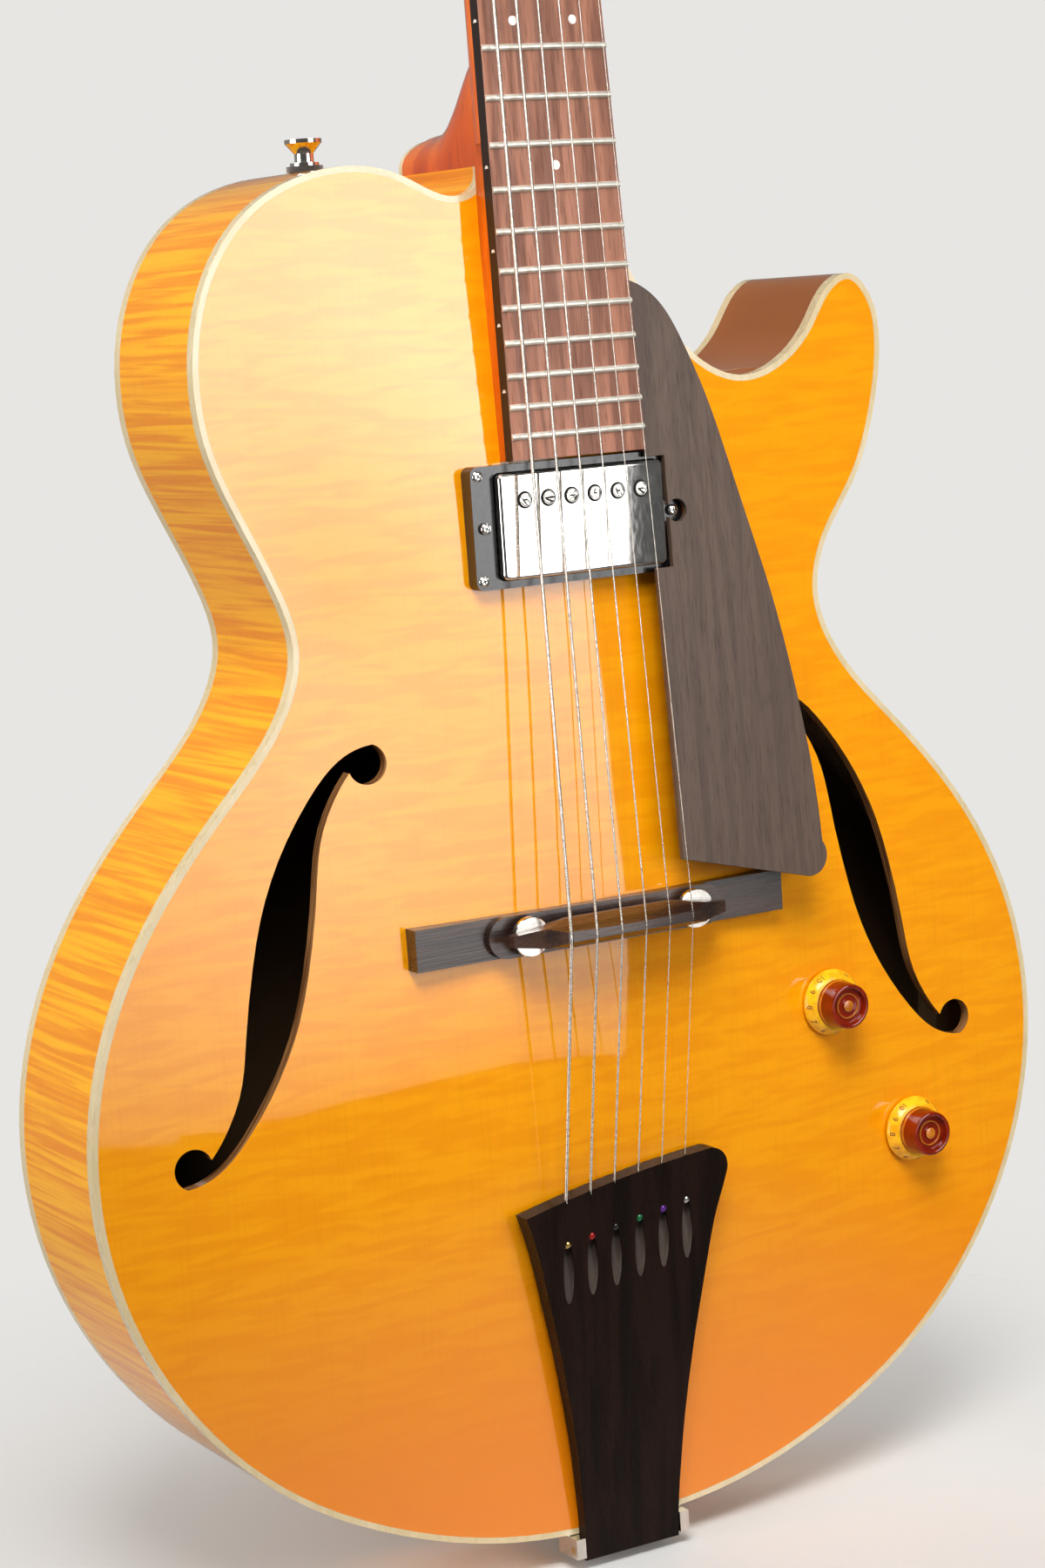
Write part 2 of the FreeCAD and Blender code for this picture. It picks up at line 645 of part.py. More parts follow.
def rounded_back(half, deep, z):
    """Neck section: flat front under the board and a rounded back, as a closed wire."""
    points = []
    steps = 12
    for k in range(steps + 1):
        c = math.cos(math.pi * k / steps)
        s = math.sin(math.pi * k / steps)
        x = half * math.copysign(abs(c) ** (2 / NECK_POWER), c)
        points.append(Vector(x, board_under + deep * abs(s) ** (2 / NECK_POWER), z))
    flat = Part.makeLine(points[-1], points[0])
    return Part.Wire([spline(points).toShape(), flat])


# Headstock frame: y = 0 is the front of the wood, z runs up from the nut's far side.
head_local = Placement(Vector(0, board_under, nut_z + S.nut_long), Rotation(X_AXIS, -S.head_angle))
head_place = neck_place.multiply(head_local)


def head_half(z):
    """Half width of the headstock: a quick flare, then a slow one."""
    share = min(max(z / S.flare_long, 0), 1)
    ease = share * share * (3 - 2 * share)
    return S.nut_width / 2 + (S.head_flare + S.head_spread * z) * ease


HEAD_STATIONS = [0.02, 0.05, 0.08, 0.11, 0.14, 0.3, 0.6, 0.96]


def head_face(y):
    side = [Vector(head_half(k * S.head_long), y, k * S.head_long) for k in HEAD_STATIONS]
    mirror = [Vector(-p.x, p.y, p.z) for p in reversed(side)]
    foot = Vector(head_half(0), y, 0)
    right = spline([foot] + side)
    left = spline(mirror + [Vector(-foot.x, y, 0)])
    crest = Part.Arc(side[-1], Vector(0, y, S.head_long), mirror[0])
    base = Part.makeLine(Vector(-foot.x, y, 0), foot)
    return Part.Face(Part.Wire([right.toShape(), crest.toShape(), left.toShape(), base]))


tuners = []
for side in (-1, 1):
    for k in range(3):
        z = S.tuner_first + k * S.tuner_pitch
        tuners.append((side, side * (head_half(z) - S.tuner_inset), z))
post_holes = [Part.makeCylinder(S.bush_radius, REACH, Vector(x, -REACH / 2, z), Y_AXIS)
              for side, x, z in tuners]

# Neck: shaft, headstock, heel, tongue over the top and tenon as one piece of wood.
heel_top_z = neck_z_of(S.neck_join + S.shaft_lap)
shaft = Part.makeLoft([rounded_back(board_half(nut_z), S.neck_deep_nut, nut_z),
                       rounded_back(board_half(heel_top_z), S.neck_deep_heel, heel_top_z)], True, True)
half_nut = board_half(nut_z)
nut_end = nut_z + S.nut_long
nut_shelf = polygon_prism([Vector(-half_nut, board_under, nut_z), Vector(-half_nut, board_under, nut_end),
                           Vector(-half_nut, board_under + S.head_thick, nut_end + S.shelf_past),
                           Vector(-half_nut, board_under + S.shelf_deep, nut_z)], Vector(2 * half_nut, 0, 0))
head_shape = head_face(0).extrude(Vector(0, S.head_thick, 0)).cut(post_holes)

# Heel: shares of its depth, of its width at the board and of its length past the body.
HEEL = [(-0.09, 1.0, 1.1), (0.1, 0.99, 0.98), (0.25, 0.97, 0.78), (0.38, 0.95, 0.56), (0.52, 0.92, 0.385),
        (0.74, 0.88, 0.28), (1.0, 0.83, 0.245)]
HEEL_BOW = [(1, 0), (0.96, 0.45), (0.62, 0.86), (0, 1), (-0.62, 0.86), (-0.96, 0.45), (-1, 0)]
heel_sections = []
heel_deep = S.body_depth - S.heel_cap_thick + S.cap_stand
for deep, wide, long in HEEL:
    y = -half_depth + deep * heel_deep
    bow = [Vector(across * wide * half_neck, y, neck_corner.z + along * long * S.heel_long)
           for across, along in HEEL_BOW]
    foot = Part.makeLine(bow[-1], bow[0])
    heel_sections.append(Part.Wire([spline(bow).toShape(), foot]))
heel = Part.makeLoft(heel_sections, True, False)
above_board = placed(box_shape(-REACH, REACH, -REACH, board_under, 0, nut_z), neck_place)
heel = heel.cut(above_board)
tongue_half = board_half(heel_top_z) - S.tongue_inset
tongue = polygon_prism([Vector(-board_half(board_end_z) + S.tongue_inset, board_under, board_end_z),
                        Vector(board_half(board_end_z) - S.tongue_inset, board_under, board_end_z),
                        Vector(tongue_half, board_under, heel_top_z),
                        Vector(-tongue_half, board_under, heel_top_z)], through)
tongue = placed(tongue, neck_place).cut(below_top)
body_front = box_shape(-REACH, REACH, -half_depth - REACH, -half_depth, tail_z, neck_corner.z)
tongue = tongue.common(body_front)
edge_fill = box_shape(-half_gap, half_gap, -half_depth, rim_front,
                      neck_corner.z - S.binding_wide, neck_corner.z + PAST)
over_body = box_shape(-REACH, REACH, -half_depth - REACH, half_depth, 0, neck_corner.z)
shaft = placed(shaft, neck_place).cut(over_body)
neck_shape = shaft.fuse([placed(nut_shelf, neck_place), placed(head_shape, head_place), heel, tongue,
                         tenon, edge_fill])
piece(solid("neck_wood", one_solid(neck_shape.removeSplitter())), "neck")

cap_face = Part.Face(heel_sections[-1])
piece(solid("cap", cap_face.extrude(Vector(0, S.heel_cap_thick, 0))), "heel_cap")

# Headstock front.
veneer = head_face(-S.veneer_thick).extrude(Vector(0, S.veneer_thick, 0)).cut(post_holes)
piece(solid("veneer", veneer, head_place), "headstock_veneer")
COVER_EDGE = [(-0.5, 0), (0.5, 0), (0.36, 0.62), (0, 1), (-0.36, 0.62)]
COVER_SCREWS = (0.1, 0.83)
cover_outline = [Vector(across * S.rod_cover_wide, -S.veneer_thick, S.rod_cover_up + along * S.rod_cover_long)
                 for across, along in COVER_EDGE]
rod_cover = polygon_prism(cover_outline, Vector(0, -S.rod_cover_thick, 0))
cover_screws = [Vector(0, -S.veneer_thick - S.rod_cover_thick, S.rod_cover_up + share * S.rod_cover_long)
                for share in COVER_SCREWS]
for spot in cover_screws:
    rod_cover = rod_cover.cut(Part.makeCylinder(S.thread_radius, REACH, spot, Y_AXIS))
piece(solid("rod_cover", rod_cover, head_place), "truss_rod_cover")

# Fingerboard, frets, dots and nut, in the neck frame.
crown_drop = S.board_radius - math.sqrt(S.board_radius ** 2 - board_half(nut_z / 2) ** 2)
axis_y = S.fret_tall - crown_drop + S.board_radius
board_plan = polygon_prism([Vector(-board_half(board_end_z), -REACH, board_end_z),
                            Vector(board_half(board_end_z), -REACH, board_end_z),
                            Vector(board_half(nut_z), -REACH, nut_z),
                            Vector(-board_half(nut_z), -REACH, nut_z)], Vector(0, REACH + board_under, 0))
crown = Part.makeCylinder(S.board_radius, nut_z, Vector(0, axis_y, 0), Z_AXIS)
board = board_plan.common(crown)


def fret_z(n):
    return S.scale_length * 2 ** (-n / 12)


DOTS = [(n, 0) for n in (3, 5, 7, 9, 15)] + [(12, -1), (12, 1)]
SIDE_DOTS = [3, 5, 7, 9, 12, 15, 17, 19, 21]
dots = []
for n, side in DOTS:
    z = (fret_z(n) + fret_z(n - 1)) / 2
    spot = Vector(side * S.dot_spread / 2, -REACH, z)
    dots.append(Part.makeCylinder(S.dot_radius, REACH + S.dot_deep, spot, Y_AXIS).common(crown))
for n in SIDE_DOTS:
    z = (fret_z(n) + fret_z(n - 1)) / 2
    spot = Vector(-board_half(z), (S.fret_tall + board_under) / 2, z)
    dots.append(Part.makeCylinder(S.side_dot_radius, S.dot_deep, spot, X_AXIS))
board = board.cut(dots)
piece(solid("board", one_solid(board), neck_place), "fingerboard")
piece(group("dots", [solid("dot", one, neck_place) for one in dots]), "position_dots")

frets = []
for n in range(1, FRETS + 1):
    z = fret_z(n)
    reach = math.degrees(math.asin((board_half(z) - S.fret_inset) / S.board_radius))
    foot = axis_y - S.board_radius
    ends = [Vector(0, foot, z - S.fret_wide / 2), Vector(0, foot, z + S.fret_wide / 2)]
    bow = Part.Arc(ends[0], Vector(0, foot - S.fret_tall, z), ends[1]).toShape()
    section = Part.Face(Part.Wire([bow, Part.makeLine(ends[1], ends[0])]))
    section.rotate(Vector(0, axis_y, 0), Z_AXIS, -reach)
    frets.append(solid("fret", section.revolve(Vector(0, axis_y, 0), Z_AXIS, 2 * reach), neck_place))
piece(group("fret_set", frets), "frets")

# String lines, from ball end to saddle, nut and post.
wheel_rise = S.base_rise + S.wheel_lift
wheel_top = wheel_rise + S.wheel_thick
saddle_z = S.scale_end - S.compensation
crest = S.scale_rise + S.crest_rise


def share_of(i):
    return 2 * i / (len(STRING_RADII) - 1) - 1


def tail_front(z):
    return S.tail_rise + S.tail_slope * z


def tail_line(i):
    """Ball end of a string in the tailpiece, in a row along its slanted top edge."""
    x = share_of(i) * S.bridge_spread / 2
    z = S.tail_top - S.ball_drop + x * S.tail_slant / S.tail_wide
    return at(x, tail_front(z) - S.ball_sunk, z)


strings = []
for i, radius in enumerate(STRING_RADII):
    share = share_of(i)
    bow = (1 - share * share) * S.string_bow
    ball = tail_line(i)
    saddle = at(share * S.bridge_spread / 2, crest + bow, saddle_z)
    nut = neck_place.multVec(Vector(share * S.nut_spread / 2, -S.nut_rise - bow, nut_z + S.nut_long / 2))
    strings.append((radius, ball, saddle, nut))

# Nut with a slot for each string.
lip_y = -S.nut_rise - S.nut_lip
nut_block = polygon_prism([Vector(-half_nut, board_under, nut_z), Vector(-half_nut, lip_y, nut_z),
                           Vector(-half_nut, lip_y + S.nut_fall, nut_end),
                           Vector(-half_nut, board_under, nut_end)], Vector(2 * half_nut, 0, 0))
nut_top = Part.makeCylinder(S.board_radius, REACH,
                            Vector(0, S.board_radius - S.nut_rise - S.nut_bow, nut_z - REACH / 2), Z_AXIS)
nut_shape = placed(nut_block.common(nut_top), neck_place)

# Tuners on the headstock.
front_y = -S.veneer_thick
stem_y = S.head_thick + S.stem_deep


def string_of(k):
    """String number of a tuner: the outer strings go to the posts nearest the nut."""
    return k + 1 if k < 3 else 9 - k


bushings = []
housings = []
for k, (side, x, z) in enumerate(tuners):
    number = string_of(k)
    post = rod("post", "sizes.post_radius",
               "sizes.post_stand + sizes.veneer_thick + sizes.head_thick + sizes.post_deep",
               head_place.multVec(Vector(x, front_y - S.post_stand, z)), head_place.Rotation.multVec(Y_AXIS))
    piece(post, "tuner_post_%d" % number)
    outward = head_place.Rotation.multVec(Vector(side, 0, 0))
    inward_y = head_place.Rotation.multVec(Y_AXIS)

    flange = rod("flange", "sizes.flange_radius", "sizes.flange_thick",
                 head_place.multVec(Vector(x, front_y - S.flange_thick, z)), inward_y)
    sleeve = rod("sleeve", "sizes.bush_radius", "sizes.sleeve_long",
                 head_place.multVec(Vector(x, front_y, z)), inward_y)
    bore = rod("bush_bore", "sizes.post_radius + sizes.running_gap", str(REACH),
               head_place.multVec(Vector(x, -REACH / 2, z)), inward_y)
    bushings.append(cut("bushing", fuse("bushing_body", [flange, sleeve]), bore))

    corner = Vector(x - S.gear_wide / 2, S.head_thick, z - S.gear_long / 2)
    case = block("gear_case", "sizes.gear_wide", "sizes.gear_deep", "sizes.gear_long",
                 head_place.multVec(corner), head_place.Rotation)
    well = rod("post_well", "sizes.post_radius + sizes.running_gap", "sizes.post_deep + sizes.free_gap",
               head_place.multVec(Vector(x, S.head_thick, z)), inward_y)
    stem_start = Vector(x + side * (S.post_radius + S.stem_clear), stem_y, z)
    stem_hole = rod("stem_hole", "sizes.stem_radius + sizes.running_gap", "sizes.gear_wide",
                    head_place.multVec(stem_start), outward)
    housings.append(cut("housing", case, fuse("case_holes", [well, stem_hole])))

    button_start = head_half(z) + S.button_gap
    stem_base = stem_start + Vector(side * S.free_gap, 0, 0)
    reach = button_start - abs(stem_base.x) + S.stem_sunk
    stem = solid("stem", Part.makeCylinder(S.stem_radius, reach, stem_base, Vector(side, 0, 0)), head_place)
    middle = Vector(side * (button_start + S.button_wide / 2), stem_y - S.button_thick / 2, z)
    oval = Part.Ellipse(middle + Z_AXIS * S.button_long / 2, middle + X_AXIS * S.button_wide / 2, middle)
    grip = Part.Face(Part.Wire(oval.toShape())).extrude(Vector(0, S.button_thick, 0))
    rims = [e for e in grip.Edges if e.BoundBox.YLength < TINY]
    grip = grip.makeFillet(S.button_round, rims)
    button = fuse("button", [stem, solid("grip", grip, head_place)])
    piece(button, "tuner_button_%d" % number)
piece(group("bushing_set", bushings), "tuner_bushings")
piece(group("housing_set", housings), "tuner_housings")

# Strings, each with its ball end and three turns on its post.
post_of = {string_of(k): tuners[k] for k in range(6)}
nut_tools = []
saddle_tools = []
tail_tools = []
to_head = head_place.inverse()
BEND = 1.03  # a string is a little fuller where it bends
COIL = 1.2  # and fuller again where it is wound on its post
TURNS = 3
TURN_STEP = 1.75  # from turn to turn, over the radius of the turn
for i, (radius, ball, saddle, nut) in enumerate(strings):
    side, px, pz = post_of[i + 1]
    start = to_head.multVec(nut)
    coil_radius = COIL * radius
    wrap = S.post_radius + coil_radius + S.running_gap
    away = Vector(px - start.x, 0, pz - start.z)
    lean_back = math.asin(wrap / away.Length)
    heading = Rotation(Y_AXIS, -side * math.degrees(lean_back)).multVec(away)
    heading.normalize()
    run = math.sqrt(away.Length ** 2 - wrap ** 2)
    level = front_y - S.flange_thick - S.coil_lift
    touch = Vector(start.x + heading.x * run, level, start.z + heading.z * run)
    touch = head_place.multVec(touch)
    runs = [(ball, saddle), (saddle, nut), (nut, touch)]
    shapes = [tube_shape(a, b, radius) for a, b in runs]
    shapes += [Part.makeSphere(radius * BEND, spot) for spot in (saddle, nut)]
    for turn in range(TURNS):
        middle = Vector(px, level + turn * TURN_STEP * coil_radius, pz)
        shapes.append(placed(Part.makeTorus(wrap, coil_radius, middle, Y_AXIS), head_place))
    shapes.append(Part.makeSphere(S.ball_radius, ball))
    slot = radius + S.slot_gap
    nut_tools += [slot_shape(a, b, slot) for a, b in runs[1:]] + [Part.makeSphere(slot * BEND, nut)]
    saddle_tools += [slot_shape(a, b, slot) for a, b in runs[:2]] + [Part.makeSphere(slot * BEND, saddle)]
    groove_z = ball.z - tail_z - S.groove_long
    along = at(ball.x, tail_front(groove_z) + S.ball_radius, groove_z) - ball
    along.normalize()
    seat = ball - along * S.ball_radius
    tail_tools += [tube_shape(ball, saddle, radius + S.groove_gap),
                   Part.makeCylinder(S.ball_radius + S.groove_gap, REACH, seat, along)]
    piece(solid("string", one_solid(shapes[0].fuse(shapes[1:]))), "string_%d" % (i + 1))
piece(solid("nut_bone", one_solid(nut_shape.cut(nut_tools))), "nut")

# Bridge: base shaped to the arch, two studs, two thumbwheels and a notched saddle.
half_base = S.base_long / 2
half_wide = S.base_wide / 2
step_x = S.base_step / 2 - half_wide
shelf = box_shape(-half_base, half_base, -half_depth - S.base_tip_rise, 0,
                  tail_z + saddle_z - half_wide, tail_z + saddle_z + half_wide)
edges = []
for side in (-1, 1):
    near = at(side * step_x, S.base_rise, saddle_z - side * half_wide)
    far = at(side * step_x, S.base_rise, saddle_z + side * half_wide)
    tip = at(side * S.base_step / 2, S.base_rise, saddle_z)
    edges.append(Part.Arc(near, tip, far).toShape())
    edges.append(Part.makeLine(far, at(-side * step_x, S.base_rise, saddle_z + side * half_wide)))
raised = Part.Face(Part.Wire(edges)).extrude(through)
base_shape = shelf.fuse(raised).cut(below_top).removeSplitter()
stud_foot = S.base_rise - S.stud_sunk
studs = []
for side in (-1, 1):
    spot = at(side * S.stud_spread / 2, stud_foot, saddle_z)
    base_shape = base_shape.cut(Part.makeCylinder(S.stud_radius, REACH, spot, FRONT))
    height = "sizes.stud_sunk + sizes.wheel_lift + sizes.wheel_thick + sizes.stud_past"
    studs.append(rod("stud", "sizes.stud_radius", height, spot, FRONT))
piece(solid("base", one_solid(base_shape)), "bridge_base")
piece(group("stud_pair", studs), "bridge_posts")

half_saddle = S.saddle_long / 2
half_crest = S.saddle_crest / 2
saddle_profile = [at(-half_saddle, wheel_top, 0), at(-half_saddle, wheel_top + S.saddle_tip, 0),
                  at(-S.stud_spread / 2, wheel_top + S.saddle_shoulder, 0),
                  at(-half_crest, crest, 0)]
saddle_profile += [at(share * half_crest, crest + (1 - share ** 2) * S.saddle_bow, 0)
                   for share in (-0.65, -0.32, 0, 0.32, 0.65)]
saddle_profile += [Vector(-p.x, p.y, p.z) for p in reversed(saddle_profile[:4])]
front_shape = polygon_prism(saddle_profile, Vector(0, 0, 2 * S.saddle_wide))
front_shape.translate(Vector(0, 0, saddle_z - S.saddle_wide))
wedge = [(wheel_top, S.saddle_wide), (wheel_top + S.saddle_tip, S.saddle_wide),
         (crest + S.saddle_bow + PAST, S.saddle_edge)]
wedge = [at(-half_saddle, rise, saddle_z + wide / 2) for rise, wide in wedge] + [
    at(-half_saddle, rise, saddle_z - wide / 2) for rise, wide in reversed(wedge)]
saddle_shape = front_shape.common(polygon_prism(wedge, Vector(S.saddle_long, 0, 0)))
plan = [(-half_saddle, S.saddle_end_wide), (-S.saddle_body / 2, S.saddle_wide)]
plan += [(-x, wide) for x, wide in reversed(plan)]
plan = [at(x, wheel_top, saddle_z + wide / 2) for x, wide in plan] + [
    at(x, wheel_top, saddle_z - wide / 2) for x, wide in reversed(plan)]
saddle_shape = saddle_shape.common(polygon_prism(plan, FRONT * REACH))
for side in (-1, 1):
    spot = at(side * S.stud_spread / 2, wheel_top, saddle_z)
    deep = S.stud_past + S.bridge_travel + S.free_gap
    saddle_shape = saddle_shape.cut(Part.makeCylinder(S.stud_radius + S.free_gap, deep, spot, FRONT))
saddle_shape = saddle_shape.cut(saddle_tools)
piece(solid("saddle", one_solid(saddle_shape)), "bridge_saddle")

for side, label in ((-1, "thumbwheel_bass"), (1, "thumbwheel_treble")):
    spot = at(side * S.stud_spread / 2, wheel_rise, saddle_z)
    disc = rod("wheel", "sizes.wheel_radius", "sizes.wheel_thick", spot, FRONT)
    thread = rod("wheel_bore", "sizes.stud_radius + sizes.running_gap", "sizes.wheel_thick", spot, FRONT)
    piece(cut("wheel_ring", disc, thread), label)

# Tailpiece: a fan of wood that thins towards its hinge at the tail.
TAIL_SIDE = [(1.0, 0.0), (0.9, 0.012), (0.8, 0.06), (0.67, 0.145), (0.54, 0.265), (0.407, 0.412),
             (0.273, 0.584), (0.14, 0.775)]
TAIL_BASS_CORNER = (0.97, -0.65)  # share of the half width, and of the slant above the middle
TAIL_TREBLE_CORNER = [(1.0, -0.33), (1.03, 0.35)]
tail_span = S.tail_top + S.tail_past


def tail_edge(side, shares):
    """Points up one side of the tailpiece: share of the way down and share of the flare."""
    return [at(side * (S.tail_foot_wide + flare * (S.tail_wide - S.tail_foot_wide)) / 2, -REACH / 2,
               S.tail_top - down * tail_span) for down, flare in shares]


def tail_corner(side, across, along):
    return at(side * across * S.tail_wide / 2, -REACH / 2, S.tail_top + along * S.tail_slant)


bass_edge = tail_edge(-1, TAIL_SIDE) + [tail_corner(-1, *TAIL_BASS_CORNER)]
treble_edge = tail_edge(1, TAIL_SIDE) + [tail_corner(1, *corner) for corner in TAIL_TREBLE_CORNER]
top_arc = Part.Arc(treble_edge[-1], at(0, -REACH / 2, S.tail_top), bass_edge[-1])
fan = Part.Wire([Part.makeLine(bass_edge[0], treble_edge[0]), spline(treble_edge).toShape(),
                 top_arc.toShape(), spline(bass_edge).toShape()])
fan_shape = Part.Face(fan).extrude(FRONT * 2 * REACH)
corner_edge = [e for e in fan_shape.Edges
               if e.BoundBox.ZMin > treble_edge[-1].z - TINY and e.BoundBox.XMin > 0]
fan_shape = fan_shape.makeFillet(S.tail_round, corner_edge)
low = -S.tail_past - PAST
high = S.tail_top + S.tail_slant
side_profile = [at(-REACH, tail_front(low), low), at(-REACH, tail_front(high), high),
                at(-REACH, tail_front(high) - S.tail_thick, high),
                at(-REACH, tail_front(low) - S.tail_foot_thick, low)]
tail_shape = fan_shape.common(polygon_prism(side_profile, Vector(2 * REACH, 0, 0)))
hinge_z = -S.tail_past / 2
hinge_rise = tail_front(hinge_z) - S.tail_foot_thick / 2
ear_out = S.tail_foot_wide / 2 + S.free_gap + S.ear_wide
pin_end = at(-ear_out, hinge_rise, hinge_z)
pin_hole = Part.makeCylinder(S.hinge_radius + S.running_gap, 2 * ear_out, pin_end, X_AXIS)
tail_shape = tail_shape.cut(tail_tools + [pin_hole])
piece(solid("fan", one_solid(tail_shape)), "tailpiece")

hinge = rod("hinge", "sizes.hinge_radius", "sizes.tail_foot_wide + 2 * sizes.free_gap + 2 * sizes.ear_wide",
            pin_end, X_AXIS)
piece(hinge, "tailpiece_pin")
plate_front = -half_depth + S.hanger_inset
plate = body_prism(-S.hanger_thick, plate_front, plate_front + S.hanger_deep)
plate = plate.cut(body_prism(0, plate_front - PAST, half_depth))
plate = plate.common(box_shape(-ear_out, ear_out, -half_depth, half_depth, 0, tail_z + REACH))
ears = []
for side in (-1, 1):
    x0 = side * (ear_out - S.ear_wide / 2) - S.ear_wide / 2
    ears.append(box_shape(x0, x0 + S.ear_wide,
                          -half_depth - hinge_rise - S.ear_round, -half_depth + S.ear_deep,
                          tail_z + hinge_z - S.ear_round, tail_z + S.ear_past))
pin_seat = Part.makeCylinder(S.hinge_radius, 2 * ear_out, pin_end, X_AXIS)
strap_seat = Part.makeCylinder(S.thread_radius, REACH, Vector(0, 0, tail_z + PAST), Z_AXIS * -1)
hanger = plate.fuse(ears).cut([pin_seat, strap_seat, body_prism(0, -half_depth, half_depth)])
piece(solid("hanger", one_solid(hanger)), "tailpiece_hanger")

# Pickguard in the neck frame, clear of the board and open round the pickup cover.
notch_half = cover_half.z + S.notch_gap
notch_x = cover_half.x + S.notch_gap
guard_inner = board_half(board_end_z) + S.guard_inset
GUARD_EDGE = [(0.985, -0.571), (0.96, -0.427), (0.91, -0.292), (0.835, -0.144), (0.715, 0.0305),
              (0.657, 0.1177), (0.579, 0.2135), (0.5245, 0.2658), (0.44, 0.329)]
GUARD_CORNER = [(0.91, -0.6266), (0.982, -0.6144)]
GUARD_TOP = 0.3725
GUARD_HEEL = -0.5643
GUARD_LEGS = [(0.7, -0.453), (0.436, 0.196)]
guard_top = pickup_z + GUARD_TOP * S.guard_long


def guard_spot(x, z):
    return Vector(x, S.guard_drop, neck_z_of(z))


def guard_share(across, along):
    return guard_spot(across * S.guard_wide, pickup_z + along * S.guard_long)


beside_board = [guard_spot(board_half(neck_z_of(z)) + S.free_gap, z)
                for z in (guard_top, pickup_z + notch_half)]
inner = [guard_spot(notch_x, pickup_z + notch_half), guard_spot(notch_x, pickup_z - notch_half),
         guard_spot(guard_inner, pickup_z - notch_half),
         guard_spot(guard_inner, pickup_z + GUARD_HEEL * S.guard_long)]
corner = [guard_share(*GUARD_CORNER[0]), guard_share(*GUARD_CORNER[1]), guard_share(*GUARD_EDGE[0])]
outer = spline([guard_share(*share) for share in GUARD_EDGE] + [beside_board[0]])
straight = beside_board + inner + corner[:1]
guard_edges = [Part.makeLine(a, b) for a, b in zip(straight, straight[1:])]
guard_edges += [Part.Arc(*corner).toShape(), outer.toShape()]
guard = Part.Face(Part.Wire(guard_edges)).extrude(Vector(0, S.guard_thick, 0))
access_at = Vector(height_screw_x, -REACH / 2, neck_z_of(pickup_z))
access = Part.makeCylinder(S.access_radius, REACH, access_at, Y_AXIS)
piece(solid("guard", guard.cut(access), neck_place), "pickguard")
supports = []
for across, along in GUARD_LEGS:
    foot = guard_share(across, along)
    foot.y = guard_under
    leg = Part.makeCylinder(S.support_radius, REACH / 2, foot, Y_AXIS)
    supports.append(solid("leg", one_solid(placed(leg, neck_place).cut(below_top))))
piece(group("legs", supports), "pickguard_supports")


# Pickup: ring on the top, cover and coils inside it, pole screws and height screws.
SLOT_FIRST = 35  # degrees, slot of the first pole screw
SLOT_STEP = 40  # degrees, from slot to slot


def pickup_block(half_x, half_z, y0, y1, round_by):
    """Block about the pickup's middle with rounded upright corners."""
    middle = tail_z + pickup_z
    block_shape = box_shape(-half_x, half_x, y0, y1, middle - half_z, middle + half_z)
    uprights = [e for e in block_shape.Edges if e.BoundBox.YLength > PAST]
    return block_shape.makeFillet(round_by, uprights)


cover_y = -half_depth - cover_rise
base_y = -half_depth - tab_rise
ring_shape = pickup_block(S.ring_long / 2, S.ring_wide / 2, -half_depth - ring_rise, 0, S.ring_round)
window = pickup_block(cover_half.x + S.free_gap, cover_half.z + S.free_gap, -half_depth - REACH, 0,
                      S.cover_round + S.free_gap)
ring_shape = ring_shape.cut([window, below_top])
ring_screw_x = S.ring_long / 2 - S.ring_screw_end
ring_screw_z = S.ring_wide / 2 - S.ring_screw_side
ring_screw_spots = [(sx * ring_screw_x, pickup_z + sz * ring_screw_z) for sx in (-1, 1) for sz in (-1, 1)]
height_spots = [(-height_screw_x, pickup_z), (height_screw_x, pickup_z)]
screws = []
for x, z in ring_screw_spots:
    top = at(x, ring_rise, z)
    ring_shape = ring_shape.cut([Part.makeCylinder(S.screw_radius, S.screw_head, top, Y_AXIS),
                                 Part.makeCylinder(S.thread_radius, REACH, top, Y_AXIS)])
    head = rod("head", "sizes.screw_radius", "sizes.screw_head", top, Y_AXIS)
    shank = rod("shank", "sizes.thread_radius", "sizes.cover_lift", top, Y_AXIS)
    screws.append(fuse("ring_screw", [head, shank]))
for x, z in height_spots:
    top = at(x, ring_rise, z)
    ring_shape = ring_shape.cut(Part.makeCylinder(S.thread_radius + S.free_gap, REACH, top, Y_AXIS))
    head = rod("head", "sizes.screw_radius", "sizes.screw_head", top + FRONT * S.screw_head, Y_AXIS)
    shank = rod("shank", "sizes.thread_radius", "sizes.cover_tall + sizes.cover_lift", top, Y_AXIS)
    screws.append(fuse("height_screw", [head, shank]))
piece(solid("surround", one_solid(ring_shape)), "pickup_ring")

shell = pickup_block(cover_half.x, cover_half.z, cover_y, base_y, S.cover_round)
front_edges = [e for e in shell.Edges if e.BoundBox.YMax < cover_y + TINY]
shell = shell.makeFillet(S.cover_edge, front_edges)
room = pickup_block(cover_half.x - S.cover_wall, cover_half.z - S.cover_wall, cover_y + S.cover_wall, 0,
                    S.cover_round - S.cover_wall)
core = room.common(box_shape(-REACH, REACH, cover_y + S.cover_edge + S.cover_wall, base_y,
                             tail_z, tail_z + S.body_length))
tab = box_shape(-tab_half, tab_half, base_y, base_y + S.tab_thick,
                tail_z + pickup_z - S.tab_wide / 2, tail_z + pickup_z + S.tab_wide / 2)
core = core.fuse(tab)
core = core.cut([Part.makeCylinder(S.thread_radius + S.running_gap, REACH, at(x, REACH / 2, z), Y_AXIS)
                 for x, z in height_spots])
pole_z = pickup_z + S.pole_offset
poles = []
cover_shape = shell.cut(room)
